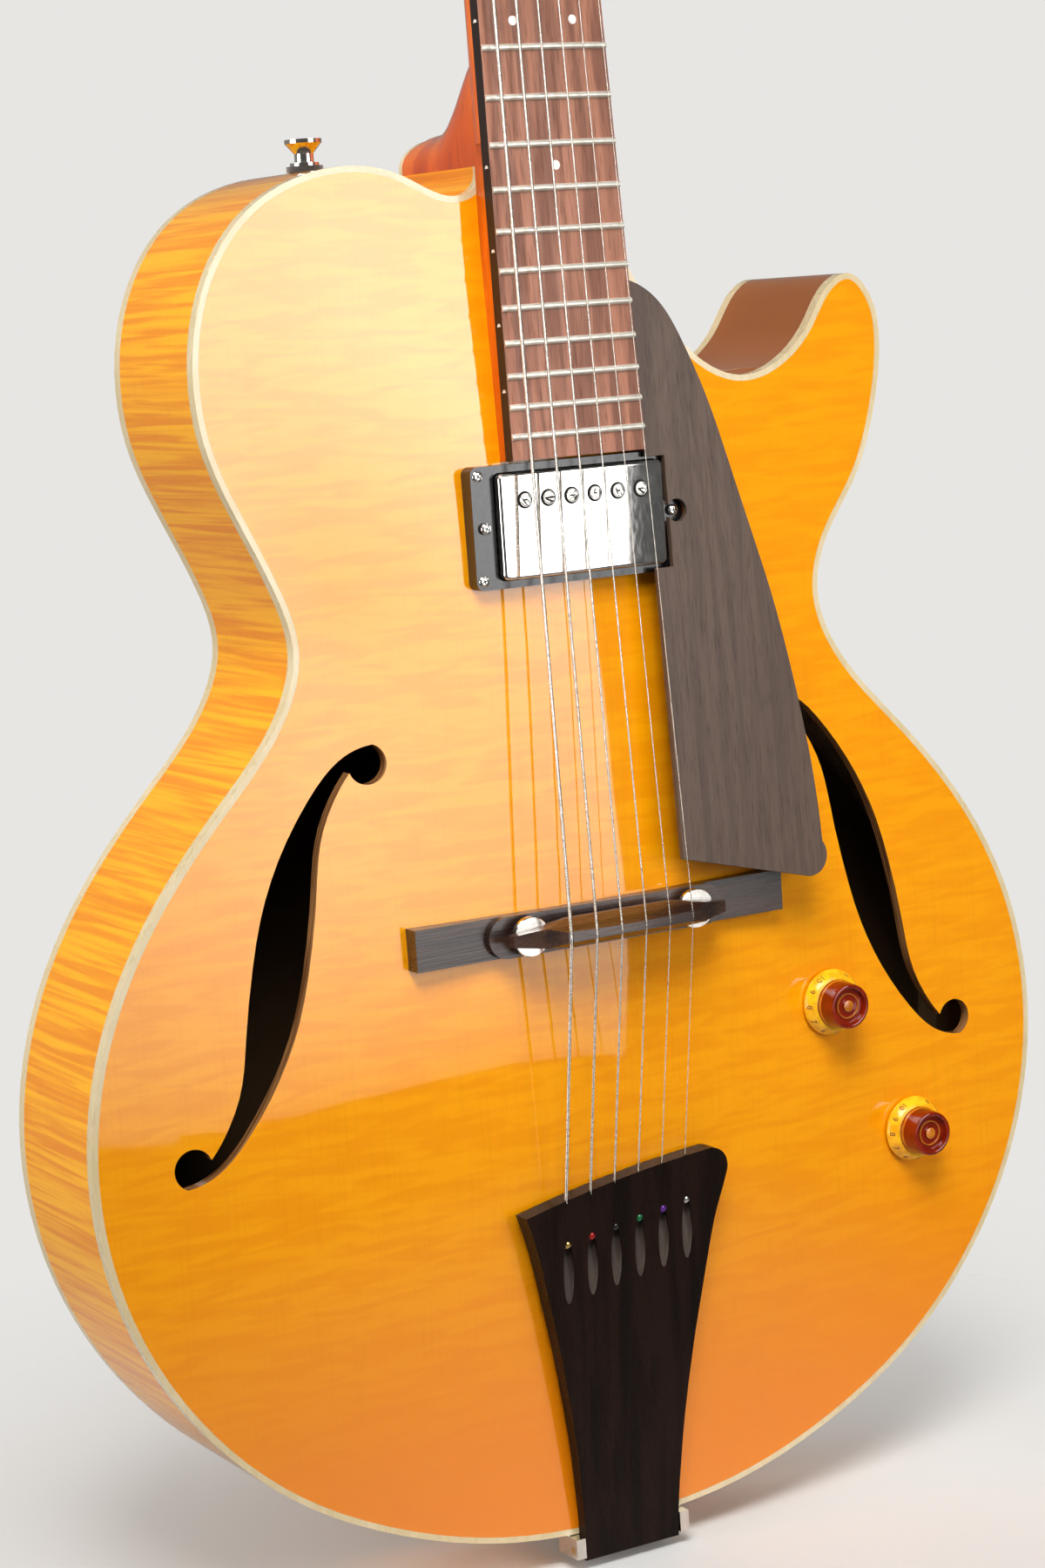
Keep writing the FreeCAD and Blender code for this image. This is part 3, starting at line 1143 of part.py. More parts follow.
for i in range(6):
    x = (i - 2.5) * S.pole_pitch
    head = at(x, cover_rise + S.pole_stand, pole_z)
    cover_shape = cover_shape.cut(Part.makeCylinder(S.pole_radius, REACH / 4, head, Y_AXIS))
    core = core.cut(Part.makeCylinder(S.pole_radius, S.pole_long, head, Y_AXIS))
    half_slot = S.pole_radius + PAST
    slot = box_shape(x - half_slot, x + half_slot, head.y - PAST, head.y + S.slot_deep,
                     head.z - S.slot_wide / 2, head.z + S.slot_wide / 2)
    slot.rotate(head, Y_AXIS, SLOT_FIRST + SLOT_STEP * i)
    screw = rod("pole", "sizes.pole_radius", "sizes.pole_long", head, Y_AXIS)
    poles.append(cut("pole_screw", screw, solid("pole_slot", slot)))
piece(solid("cover_metal", one_solid(cover_shape)), "pickup_cover")
piece(solid("coils", one_solid(core.removeSplitter())), "pickup_core")
piece(group("pole_set", poles), "pole_screws")

for spot in cover_screws:
    inward_y = head_place.Rotation.multVec(Y_AXIS)
    start = head_place.multVec(spot)
    head = rod("head", "sizes.screw_radius", "sizes.screw_head", start - inward_y * S.screw_head, inward_y)
    shank = rod("shank", "sizes.thread_radius", "sizes.rod_cover_thick", start, inward_y)
    screws.append(fuse("cover_screw", [head, shank]))
piece(group("screw_set", screws), "fixing_screws")

# Controls: a pot under the top, its shaft and a top-hat knob for each.
pots = []
for label, (x, z) in (("volume", volume_at), ("tone", tone_at)):
    surface = rise_at(x, z)
    seat = at(x, surface - S.plate_thick - S.collar_past, z)
    can = rod("can", "sizes.pot_radius", "sizes.pot_deep", seat, Y_AXIS)
    collar = rod("collar", "sizes.collar_radius", "sizes.plate_thick + 2 * sizes.collar_past",
                 at(x, surface + S.collar_past, z), Y_AXIS)
    shaft_hole = rod("shaft_hole", "sizes.shaft_radius + sizes.running_gap",
                     "2 * sizes.plate_thick + 2 * sizes.collar_past",
                     at(x, surface + S.collar_past, z), Y_AXIS)
    pots.append(cut("pot", fuse("pot_body", [can, collar]), shaft_hole))
    foot = at(x, surface + S.knob_gap, z)
    skirt = add("Part::Cone", "skirt", Radius1="sizes.knob_radius", Radius2="sizes.skirt_radius",
                Height="sizes.skirt_tall")
    put(skirt, foot, Rotation(Z_AXIS, FRONT))
    crown_cone = add("Part::Cone", "crown", Radius1="sizes.cap_foot", Radius2="sizes.cap_radius",
                     Height="sizes.knob_tall")
    put(crown_cone, foot, Rotation(Z_AXIS, FRONT))
    well = rod("knob_well", "sizes.collar_radius + 2 * sizes.free_gap", "sizes.collar_past", foot, FRONT)
    socket = rod("knob_socket", "sizes.shaft_radius", "sizes.knob_tall - sizes.knob_roof", foot, FRONT)
    piece(cut("knob", fuse("knob_body", [skirt, crown_cone]), fuse("knob_holes", [well, socket])),
          label + "_knob")
    shaft_start = at(x, surface + S.knob_gap + S.knob_tall - S.knob_roof, z)
    piece(rod("spindle", "sizes.shaft_radius", "sizes.knob_tall - sizes.knob_roof + sizes.plate_thick",
              shaft_start, Y_AXIS), label + "_shaft")
piece(group("pot_set", pots), "control_pots")

# Output jack, strap buttons and their felt washers, square to the rim.
inward = jack_out * -1
jack_mouth = jack_point + jack_out * S.jack_cup
flange = rod("cup", "sizes.jack_flange", "sizes.jack_cup", jack_mouth, inward)
barrel = rod("barrel", "sizes.jack_barrel", "sizes.jack_long", jack_point, inward)
bore = rod("plug_bore", "sizes.jack_bore", "sizes.jack_long - sizes.jack_end", jack_mouth, inward)
piece(cut("jack", fuse("jack_body", [flange, barrel]), bore), "output_jack")

buttons = []
washers = []
hanger_face = Vector(0, 0, tail_z - S.hanger_thick)
for base, direction in ((hanger_face, Z_AXIS * -1), (shoulder_point, shoulder_out)):
    felt = rod("felt", "sizes.strap_radius", "sizes.washer_thick", base, direction)
    felt_hole = rod("felt_hole", "sizes.thread_radius", "sizes.washer_thick", base, direction)
    washers.append(cut("washer", felt, felt_hole))
    start = base + direction * S.washer_thick
    disc = rod("foot", "sizes.strap_foot", "sizes.strap_disc", start, direction)
    horn_start = start + direction * (S.strap_disc + S.strap_waist_long)
    waist = rod("waist", "sizes.strap_waist", "sizes.strap_disc + sizes.strap_waist_long", start, direction)
    horn = add("Part::Cone", "horn", Radius1="sizes.strap_waist", Radius2="sizes.strap_radius",
               Height="sizes.strap_horn")
    put(horn, horn_start, Rotation(Z_AXIS, direction))
    lip_start = horn_start + direction * S.strap_horn
    lip = rod("lip", "sizes.strap_radius", "sizes.strap_lip", lip_start, direction)
    shank = rod("strap_shank", "sizes.thread_radius", "sizes.washer_thick", base, direction)
    buttons.append(fuse("strap_button", [disc, waist, horn, lip, shank]))
piece(group("button_pair", buttons), "strap_buttons")
piece(group("felt_pair", washers), "strap_washers")

doc.recompute()
faults = []
for obj in doc.Objects:
    if "Invalid" in obj.State or "Error" in obj.State:
        faults.append("%s: %s" % (obj.Label, obj.State))
for obj in pieces:
    if obj.Shape.isNull() or not obj.Shape.isValid() or not obj.Shape.Solids:
        faults.append("%s: bad shape" % obj.Label)
if faults:
    raise RuntimeError("; ".join(faults))

os.makedirs("parts", exist_ok=True)
for obj in pieces:
    obj.Shape.exportStep("parts/%s.step" % obj.Label)
print("%d pieces written" % len(pieces))
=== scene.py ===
# %% [markdown]
# # Dressing an archtop guitar
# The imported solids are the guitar's true shape. This lesson loads them as a fixed frame, sets the
# camera and the light, gives every piece of wood, metal and plastic its own finish, and models the
# small turned and carved pieces whose detail the solids leave out.

# %% Load the frame
import json
import math
import bpy
from mathutils import Matrix, Vector


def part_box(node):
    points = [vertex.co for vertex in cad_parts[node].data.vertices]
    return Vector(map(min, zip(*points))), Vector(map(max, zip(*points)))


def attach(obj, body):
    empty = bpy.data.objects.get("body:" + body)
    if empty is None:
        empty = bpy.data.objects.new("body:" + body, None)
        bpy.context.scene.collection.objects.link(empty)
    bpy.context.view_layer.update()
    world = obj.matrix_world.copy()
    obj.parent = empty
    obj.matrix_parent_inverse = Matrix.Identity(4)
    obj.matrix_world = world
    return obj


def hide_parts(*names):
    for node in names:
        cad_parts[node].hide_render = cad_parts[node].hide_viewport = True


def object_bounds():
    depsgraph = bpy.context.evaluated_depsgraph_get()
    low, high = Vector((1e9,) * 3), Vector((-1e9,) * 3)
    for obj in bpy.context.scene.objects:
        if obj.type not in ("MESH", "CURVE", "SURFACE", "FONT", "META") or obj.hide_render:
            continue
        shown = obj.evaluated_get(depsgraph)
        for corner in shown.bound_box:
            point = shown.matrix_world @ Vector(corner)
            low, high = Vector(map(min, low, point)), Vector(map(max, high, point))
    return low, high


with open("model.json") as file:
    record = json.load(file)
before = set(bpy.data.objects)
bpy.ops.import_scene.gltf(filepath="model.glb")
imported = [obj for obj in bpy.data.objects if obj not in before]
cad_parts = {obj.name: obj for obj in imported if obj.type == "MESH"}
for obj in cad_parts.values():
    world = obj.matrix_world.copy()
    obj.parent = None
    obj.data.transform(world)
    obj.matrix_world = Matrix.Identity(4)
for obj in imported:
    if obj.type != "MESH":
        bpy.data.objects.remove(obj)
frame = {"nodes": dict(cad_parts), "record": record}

nodes = frame["nodes"]
cad_low, cad_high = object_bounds()
scene = bpy.context.scene
scene.view_settings.view_transform = "Standard"
bpy.ops.object.select_all(action="DESELECT")
print("the solids span", [round(side, 3) for side in cad_high - cad_low], "metres")

# %% [markdown]
# ## Camera
# The frets, the pickup and the body's edge fix where the photographer stood: to the bass side of the
# guitar, a little above the bridge. A camera can be turned by three angles, or aimed at a point. Here
# three directions make the camera's own axes, so that its slight tilt needs no angle at all. The lens
# is given in millimetres for the long side of the frame, which is 36 mm.

# %% Set the camera
EYE = Vector((-0.64067, -1.11727, 0.47544))
AHEAD = Vector((0.48999, 0.86025, -0.14100))
UPWARD = Vector((0.12778, 0.08912, 0.98779))
LENS = 78.04
LONG_SIDE = 36

bpy.ops.object.camera_add()
camera = bpy.context.object
sideways = AHEAD.cross(UPWARD).normalized()
axes = Matrix((sideways, UPWARD, -AHEAD)).transposed()
camera.matrix_world = Matrix.Translation(EYE) @ axes.to_4x4()
camera.data.lens = LENS
camera.data.sensor_width = LONG_SIDE
scene.camera = camera
print("camera", [round(place, 2) for place in camera.location])

# %% [markdown]
# ## Floor
# A pale floor carries the guitar's shadow. A floor that ran on to a horizon would cut the picture in two,
# so this one turns clear further out and lets the backdrop show, which has the same colour. Its
# underside is clear too, so that the guitar can be seen from below.

# %% Make the floor
PALE = (0.80, 0.79, 0.77, 1)
FLOOR_RADIUS = 40
FADE_FROM = 0.05
FADE_TO = 0.5


def add_node(tree, kind, operation=None, **inputs):
    """New shader node; each input is set by its name, with _ for a space."""
    node = tree.nodes.new("ShaderNode" + kind)
    if operation:
        node.operation = operation
    for socket, value in inputs.items():
        node.inputs[socket.replace("_", " ")].default_value = value
    return node


def linked(tree, *pairs):
    """Links an output to an input for every pair."""
    for output, socket in pairs:
        tree.links.new(output, socket)


def pale_floor():
    """Floor finish: soft shadow near the guitar, clear further out, where the backdrop shows."""
    made = bpy.data.materials.new("pale_floor")
    made.use_nodes = True
    tree = made.node_tree
    tree.nodes.remove(tree.nodes["Principled BSDF"])
    coords = add_node(tree, "TexCoord")
    length = add_node(tree, "VectorMath", operation="LENGTH")
    fade = add_node(tree, "MapRange", From_Min=FADE_FROM, From_Max=FADE_TO)
    matte = add_node(tree, "BsdfDiffuse", Color=PALE)
    clear = add_node(tree, "BsdfTransparent")
    ground = add_node(tree, "MixShader")
    side = add_node(tree, "NewGeometry")
    seen = add_node(tree, "MixShader")
    linked(tree,
           (coords.outputs["Object"], length.inputs[0]),
           (length.outputs["Value"], fade.inputs["Value"]),
           (fade.outputs["Result"], ground.inputs["Fac"]),
           (matte.outputs["BSDF"], ground.inputs[1]),
           (clear.outputs["BSDF"], ground.inputs[2]),
           (side.outputs["Backfacing"], seen.inputs["Fac"]),
           (ground.outputs["Shader"], seen.inputs[1]),
           (clear.outputs["BSDF"], seen.inputs[2]),
           (seen.outputs["Shader"], tree.nodes["Material Output"].inputs["Surface"]))
    return made


bpy.ops.mesh.primitive_circle_add(vertices=96, radius=FLOOR_RADIUS, fill_type="NGON",
                                  location=(0, 0, cad_low.z))
floor = bpy.context.object
floor.name = "floor"
floor.data.materials.append(pale_floor())
print("floor at", round(cad_low.z, 3), "metres")

# %% [markdown]
# ## Room
# The room is dim, because gloss would mix the white of a bright room into every colour. The camera and
# clear plastic still see a pale backdrop. Gloss sees a share of it, and only behind the guitar, which
# makes the tuners read as metal and leaves the amber of the top deep.

# %% Light the room
AIR = 0.10
BEHIND_FULL = 0.8
BEHIND_SHARE = 0.25

room = bpy.data.worlds.new("room")
scene.world = room
room.use_nodes = True
sky = room.node_tree
air = sky.nodes["Background"]
air.inputs["Color"].default_value = PALE
air.inputs["Strength"].default_value = AIR
backdrop = add_node(sky, "Background", Color=PALE)
path = add_node(sky, "LightPath")
ways = add_node(sky, "TexCoord")
split = add_node(sky, "SeparateXYZ")
behind = add_node(sky, "MapRange", From_Min=0.0, From_Max=BEHIND_FULL, To_Max=BEHIND_SHARE)
mirrored = add_node(sky, "Math", operation="MULTIPLY")
straight = add_node(sky, "Math", operation="MAXIMUM")
shown = add_node(sky, "Math", operation="MAXIMUM")
chosen = add_node(sky, "MixShader")
linked(sky,
       (ways.outputs["Generated"], split.inputs["Vector"]),
       (split.outputs["Y"], behind.inputs["Value"]),
       (behind.outputs["Result"], mirrored.inputs[0]),
       (path.outputs["Is Glossy Ray"], mirrored.inputs[1]),
       (path.outputs["Is Camera Ray"], straight.inputs[0]),
       (path.outputs["Is Transmission Ray"], straight.inputs[1]),
       (mirrored.outputs["Value"], shown.inputs[0]),
       (straight.outputs["Value"], shown.inputs[1]),
       (shown.outputs["Value"], chosen.inputs["Fac"]),
       (air.outputs["Background"], chosen.inputs[1]),
       (backdrop.outputs["Background"], chosen.inputs[2]),
       (chosen.outputs["Shader"], sky.nodes["World Output"].inputs["Surface"]))
print("room with", len(sky.nodes), "nodes")

# %% [markdown]
# ## Lamps
# The gloss on the arched top mirrors one large softbox that stands in front, to the treble side: its
# lower edge and its right edge draw the bright field on the bass half of the top, and because the box is
# brighter towards its head, that field pales towards the shoulder. A second panel from the bass side
# lights the rim, and a third high on the bass side fills the colour of the top from a place that its
# gloss doesn't mirror. A weak fourth panel shows the colour of the back to anyone who walks round, and no
# gloss mirrors it. A small lamp would be simpler, but it would leave a hard spot on the lacquer.

# %% Hang the softboxes


def softbox(name, centre, target, size, power, roll=0.0):
    """Rectangular panel light that faces a target and stays out of the camera's sight."""
    bpy.ops.object.light_add(type="AREA", location=centre)
    lamp = bpy.context.object
    lamp.name = name
    lamp.data.shape = "RECTANGLE"
    lamp.data.size, lamp.data.size_y = size
    lamp.data.energy = power
    aim = (Vector(target) - Vector(centre)).to_track_quat("-Z", "Y").to_matrix().to_4x4()
    lamp.matrix_world = Matrix.Translation(centre) @ aim @ Matrix.Rotation(roll, 4, "Z")
    lamp.visible_camera = False
    return lamp


def graded(lamp, foot, head, reach):
    """Lets a softbox grow brighter from its lower edge up to a share of its height."""
    lamp.data.use_nodes = True
    tree = lamp.data.node_tree
    place = add_node(tree, "NewGeometry")
    across = add_node(tree, "SeparateXYZ")
    ramp = add_node(tree, "MapRange", From_Max=reach, To_Min=foot, To_Max=head)
    linked(tree,
           (place.outputs["Parametric"], across.inputs["Vector"]),
           (across.outputs["Y"], ramp.inputs["Value"]),
           (ramp.outputs["Result"], tree.nodes["Emission"].inputs["Strength"]))


key = softbox("key_softbox", centre=(0.476, -1.357, 0.362), target=(-0.115, -0.088, 0.362),
              size=(0.745, 1.075), power=12, roll=math.radians(-5))
graded(key, foot=0.14, head=1.18, reach=0.73)
side_panel = softbox("side_panel", centre=(-2.2, 0.1, 0.35), target=(-0.1, 0, 0.3), size=(1.4, 1.6),
                     power=39)
high_panel = softbox("high_panel", centre=(-0.3, -0.65, 1.2), target=(0.06, 0, 0.36), size=(0.7, 0.7),
                     power=2.1)
high_panel.data.spread = math.radians(45)
back_panel = softbox("back_panel", centre=(0.25, 1.7, 0.75), target=(0, 0, 0.35), size=(1.1, 1.3),
                     power=13)
back_panel.visible_glossy = False
print("lights:", [lamp.name for lamp in (key, side_panel, high_panel, back_panel)])

# %% [markdown]
# ## Finishes
# Every finish is built from a few layers of stretched noise on the object's own coordinates, in
# metres. Stretching the noise along one axis gives grain, across it gives the flame of maple. A picture
# wrapped round the piece could show the same, but it would stretch over the arch, while noise runs
# through the piece as real grain does. Colours are linear shares of red, green and blue.

# %% Helpers that start a finish and lay a pattern


def shader_of(made):
    """The one shader of a finish."""
    return made.node_tree.nodes["Principled BSDF"]


def finish(name, **sockets):
    """New material; each socket is set on the shader itself."""
    made = bpy.data.materials.new(name)
    made.use_nodes = True
    for socket, value in sockets.items():
        shader_of(made).inputs[socket.replace("_", " ")].default_value = value
    return made


def noise(made, stretch, detail=3.0, distortion=0.0):
    """Noise on object coordinates; stretch is how many features fit in a metre along each axis."""
    tree = made.node_tree
    coords = add_node(tree, "TexCoord")
    mapping = add_node(tree, "Mapping", Scale=stretch)
    pattern = add_node(tree, "TexNoise", Scale=1, Detail=detail, Distortion=distortion)
    linked(tree,
           (coords.outputs["Object"], mapping.inputs["Vector"]),
           (mapping.outputs["Vector"], pattern.inputs["Vector"]))
    return pattern.outputs["Fac"]


def spread(made, value, low, high, to_low=0.0, to_high=1.0):
    """Stretches a pattern's middle range to new limits, softly."""
    ramp = add_node(made.node_tree, "MapRange", From_Min=low, From_Max=high, To_Min=to_low, To_Max=to_high)
    ramp.interpolation_type = "SMOOTHSTEP"
    linked(made.node_tree, (value, ramp.inputs["Value"]))
    return ramp.outputs["Result"]


print("pattern helpers ready")

# %% [markdown]
# ### Colour, gloss and relief
# A pattern does three jobs in a finish: it mixes two colours, it makes the gloss uneven, and it raises
# the surface a little. Two more helpers tell where on the piece a finish changes: on faces that look one
# way, or past a place along an axis. Painting by place keeps the piece in one mesh with one material.

# %% Helpers that use a pattern
# Places of the colour sockets on a Mix node, where sockets for numbers have the same names.
MIX_SHARE, MIX_FIRST, MIX_SECOND, MIX_RESULT = 0, 6, 7, 2


def blend(made, share, first, second):
    """Mixes two colours by a share; each may be a value or another node's output."""
    node = add_node(made.node_tree, "Mix")
    node.data_type = "RGBA"
    for place, value in ((MIX_SHARE, share), (MIX_FIRST, first), (MIX_SECOND, second)):
        if isinstance(value, (int, float, tuple)):
            node.inputs[place].default_value = value
        else:
            linked(made.node_tree, (value, node.inputs[place]))
    return node.outputs[MIX_RESULT]


def colour(made, shade):
    """Gives a finish its colour from another node's output."""
    linked(made.node_tree, (shade, shader_of(made).inputs["Base Color"]))


def gloss(made, value, low, high):
    """Lets a pattern vary the roughness between two values."""
    rough = spread(made, value, low=0.3, high=0.7, to_low=low, to_high=high)
    linked(made.node_tree, (rough, shader_of(made).inputs["Roughness"]))


def relief(made, value, depth):
    """Raises the surface with a pattern, depth in metres."""
    bump = add_node(made.node_tree, "Bump", Distance=depth)
    linked(made.node_tree,
           (value, bump.inputs["Height"]),
           (bump.outputs["Normal"], shader_of(made).inputs["Normal"]))


def facing(made, sign, low, high, axis="Y", source="Normal"):
    """Share that grows to 1 on faces that look along an axis, or against it when sign is -1."""
    tree = made.node_tree
    coords = add_node(tree, "TexCoord")
    parts = add_node(tree, "SeparateXYZ")
    signed = add_node(tree, "Math", operation="MULTIPLY")
    signed.inputs[1].default_value = sign
    linked(tree,
           (coords.outputs[source], parts.inputs["Vector"]),
           (parts.outputs[axis], signed.inputs[0]))
    return spread(made, signed.outputs["Value"], low, high)


def beyond(made, axis, low, high, sign=1):
    """Share that grows to 1 between two places along an axis, in metres; sign -1 counts down the axis."""
    return facing(made, sign, low, high, axis, "Object")


def deeper(shade, share):
    """The same colour, darker."""
    return tuple(channel * share for channel in shade[:3]) + (1,)


print("colour helpers ready")

# %% [markdown]
# ### Two families of finish
# Nearly everything on the guitar is either wood or a smooth material such as plastic, bone or plate. Wood
# has broad bands, fine pores and perhaps lacquer. A smooth material has a cloudy colour and slightly uneven
# gloss. One function for each family keeps the finishes below to a line or two.

# %% Helpers for wood and for smooth materials
COAT_ROUGH = 0.03
COAT_IOR = 1.75
BARE_SHINE = 0.35
PORE_SHADE = 0.45


def wood(name, pale, deep, bands, grain, rough, strength, depth=0.00002, lacquer=0.0):
    """Wood: broad bands between two colours, fine dark grain over them and lacquer on top."""
    made = finish(name, Coat_Weight=lacquer, Coat_Roughness=COAT_ROUGH, Coat_IOR=COAT_IOR,
                  Specular_IOR_Level=BARE_SHINE * (1 - lacquer))
    broad = spread(made, noise(made, bands, detail=2.5, distortion=0.6), low=0.36, high=0.64)
    fine = noise(made, grain, detail=5.0, distortion=0.2)
    pores = spread(made, fine, low=0.48, high=0.72, to_high=strength)
    figured = blend(made, pores, blend(made, broad, deep, pale), deeper(deep, PORE_SHADE))
    gloss(made, fine, low=rough - 0.06, high=rough + 0.08)
    relief(made, fine, depth)
    return made, figured


def plain(name, pale, deep, scale, rough, depth=0.0, **sockets):
    """Moulded or polished material: cloudy colour, uneven gloss and a slight texture."""
    made = finish(name, **sockets)
    cloud = noise(made, (scale, scale, scale), detail=6.0)
    colour(made, blend(made, spread(made, cloud, low=0.35, high=0.65), deep, pale))
    rubbed = noise(made, (scale * 6, scale * 6, scale * 2), detail=4.0)
    gloss(made, rubbed, low=rough * 0.7, high=rough * 1.3)
    if depth:
        relief(made, cloud, depth)
    return made


print("wood and smooth finishes ready")

# %% [markdown]
# ## Maple under amber lacquer
# The top, the back and the rim are laminated maple under a glossy amber lacquer. The figure runs across
# the grain: on the top as faint bars, on the rim as bold flames that cross its depth. The cut edge of
# the f-holes shows the brown plies, so faces that look sideways get a striped brown instead. Towards the
# tail the amber is painted darker, as shade. Inside the cutaway, where the faces of the treble side look
# back to the neck, the colour is painted deeper, as shade. All of this is one finish for each solid, painted
# by place, so that no seam shows between the colours.

# %% Make the maple finishes
AMBER_PALE = (0.93, 0.350, 0.002, 1)
AMBER_DEEP = (0.88, 0.300, 0.0015, 1)
AMBER_TAIL_SHADE = (0.80, 0.215, 0.001, 1)
RIM_PALE = (0.96, 0.42, 0.002, 1)
RIM_DEEP = (0.80, 0.25, 0.001, 1)
CUTAWAY_SHADE = (0.30, 0.085, 0.010, 1)
BARE = (0.10, 0.055, 0.028, 1)
PLY_PALE = (0.42, 0.20, 0.07, 1)
PLY_DEEP = (0.14, 0.05, 0.016, 1)
NONE = (0, 0, 0, 1)

top_maple, figure = wood("top_maple", AMBER_PALE, AMBER_DEEP, bands=(34, 34, 210), grain=(700, 700, 12),
                         rough=0.32, strength=0.06, lacquer=1.0)
# Painted shade: the top turns darker towards the tail.
tail_shade = beyond(top_maple, "Z", low=-0.16, high=-0.02, sign=-1)
figure = blend(top_maple, tail_shade, figure, AMBER_TAIL_SHADE)
layers = spread(top_maple, noise(top_maple, (30, 1500, 30)), low=0.4, high=0.6)
plies = blend(top_maple, layers, PLY_DEEP, PLY_PALE)
outside = blend(top_maple, facing(top_maple, -1, low=0.35, high=0.75), plies, figure)
colour(top_maple, blend(top_maple, facing(top_maple, 1, low=0.35, high=0.75), outside, BARE))

back_maple, figure = wood("back_maple", RIM_PALE, RIM_DEEP, bands=(14, 14, 150), grain=(700, 700, 12),
                          rough=0.32, strength=0.10, lacquer=1.0)
colour(back_maple, blend(back_maple, facing(back_maple, -1, low=0.2, high=0.5), figure, BARE))

side_maple, figure = wood("side_maple", RIM_PALE, RIM_DEEP, bands=(400, 12, 400), grain=(60, 900, 60),
                          rough=0.32, strength=0.08, lacquer=1.0)
# Painted shade: inside the cutaway, the faces that look back to the neck turn darker.
treble_side = beyond(side_maple, "X", low=0.02, high=0.05)
cutaway_shade = blend(side_maple, treble_side, NONE, facing(side_maple, -1, low=-0.5, high=0.1, axis="X"))
colour(side_maple, blend(side_maple, cutaway_shade, figure, CUTAWAY_SHADE))
print("maple finishes:", top_maple.name, back_maple.name, side_maple.name)

# %% [markdown]
# ## Other woods
# The neck is mahogany, reddish with short dark pores along its length. The fingerboard, the bridge and
# the tailpiece are dark tropical woods, rubbed to a satin that keeps the pores open. The sides of the
# fingerboard are painted almost black as shade. The pickguard is wood of the same kind with a greyer sheen.
# Inside the body the wood is bare. One grain for all would look like painted plastic, so each wood has
# bands and pores of its own size, and grain that runs the way its piece was sawn.

# %% Make the other woods
SIDE_SHADE = (0.016, 0.008, 0.006, 1)
BRIDGE_SHINE = 0.95
EBONY_SHINE = 0.10

mahogany, figure = wood("mahogany", (0.80, 0.155, 0.006, 1), (0.60, 0.090, 0.004, 1), bands=(60, 60, 9),
                        grain=(1400, 1400, 60), rough=0.3, strength=0.4, lacquer=0.9)
colour(mahogany, figure)
rosewood, figure = wood("rosewood", (0.42, 0.175, 0.105, 1), (0.22, 0.085, 0.050, 1), bands=(160, 160, 7),
                        grain=(1600, 1600, 45), rough=0.42, strength=0.6, depth=0.00004)
# Painted shade: faces that don't look to the front turn almost black.
colour(rosewood, blend(rosewood, facing(rosewood, -1, low=0.3, high=0.8), SIDE_SHADE, figure))
bridge_wood, figure = wood("bridge_wood", (0.060, 0.028, 0.017, 1), (0.022, 0.011, 0.008, 1),
                           bands=(9, 160, 160), grain=(60, 1600, 1600), rough=0.26, strength=0.6,
                           depth=0.00003)
shader_of(bridge_wood).inputs["Specular IOR Level"].default_value = BRIDGE_SHINE
colour(bridge_wood, figure)
ebony, figure = wood("ebony", (0.014, 0.006, 0.004, 1), (0.006, 0.003, 0.002, 1), bands=(120, 120, 7),
                     grain=(1700, 1700, 50), rough=0.3, strength=0.5, depth=0.00003)
shader_of(ebony).inputs["Specular IOR Level"].default_value = EBONY_SHINE
colour(ebony, figure)
guard_wood, figure = wood("guard_wood", (0.100, 0.062, 0.042, 1), (0.074, 0.044, 0.030, 1),
                          bands=(260, 260, 5), grain=(1900, 1900, 60), rough=0.40, strength=0.6,
                          depth=0.00003)
colour(guard_wood, figure)
inner_wood, figure = wood("inner_wood", (0.50, 0.33, 0.17, 1), (0.36, 0.22, 0.10, 1), bands=(50, 50, 6),
                          grain=(900, 900, 30), rough=0.7, strength=0.4)
colour(inner_wood, figure)
print("woods:", [made.name for made in (mahogany, rosewood, bridge_wood, ebony, guard_wood, inner_wood)])

# %% [markdown]
# ## Binding, bone and metal
# The binding is cream plastic that has yellowed unevenly. The metal is nickel plate with fine rubbing
# marks, and the stamped pickup cover is chrome that falls away a little to the treble side, so that its
# mirror image breaks there. A flat mirror would be pure white or pure black, so each metal keeps a little
# cloud in its colour. The wound strings get a relief of hundreds of ridges, too fine to model.

# %% Make the finishes of binding, bone and metal
cream = plain("cream_binding", (0.71, 0.58, 0.355, 1), (0.65, 0.51, 0.28, 1), scale=35, rough=0.28,
              Coat_Weight=0.8, Coat_Roughness=0.05)
bone = plain("bone", (0.86, 0.80, 0.66, 1), (0.74, 0.66, 0.50, 1), scale=160, rough=0.35, depth=0.00001)
pearl = plain("pearl_dot", (0.88, 0.84, 0.76, 1), (0.66, 0.60, 0.55, 1), scale=420, rough=0.18,
              Coat_Weight=0.6)
nickel = plain("nickel", (0.82, 0.79, 0.74, 1), (0.70, 0.66, 0.60, 1), scale=240, rough=0.13, Metallic=1.0)
chrome = plain("cover_chrome", (0.86, 0.85, 0.83, 1), (0.80, 0.78, 0.75, 1), scale=120, rough=0.05,
               Metallic=1.0)
relief(chrome, beyond(chrome, "X", low=-0.075, high=0.0, sign=-1), depth=0.0017)
fret_metal = plain("fret_metal", (0.90, 0.86, 0.76, 1), (0.80, 0.75, 0.64, 1), scale=300, rough=0.42,
                   Metallic=0.7)
zinc = plain("zinc_pot", (0.56, 0.56, 0.55, 1), (0.42, 0.42, 0.41, 1), scale=300, rough=0.4, Metallic=1.0)
brass = plain("brass_hinge", (0.78, 0.56, 0.24, 1), (0.60, 0.40, 0.14, 1), scale=260, rough=0.22,
              Metallic=1.0)
string_steel = plain("string_steel", (0.74, 0.70, 0.64, 1), (0.58, 0.53, 0.46, 1), scale=700, rough=0.26,
                     Metallic=1.0)
winding = string_steel.node_tree
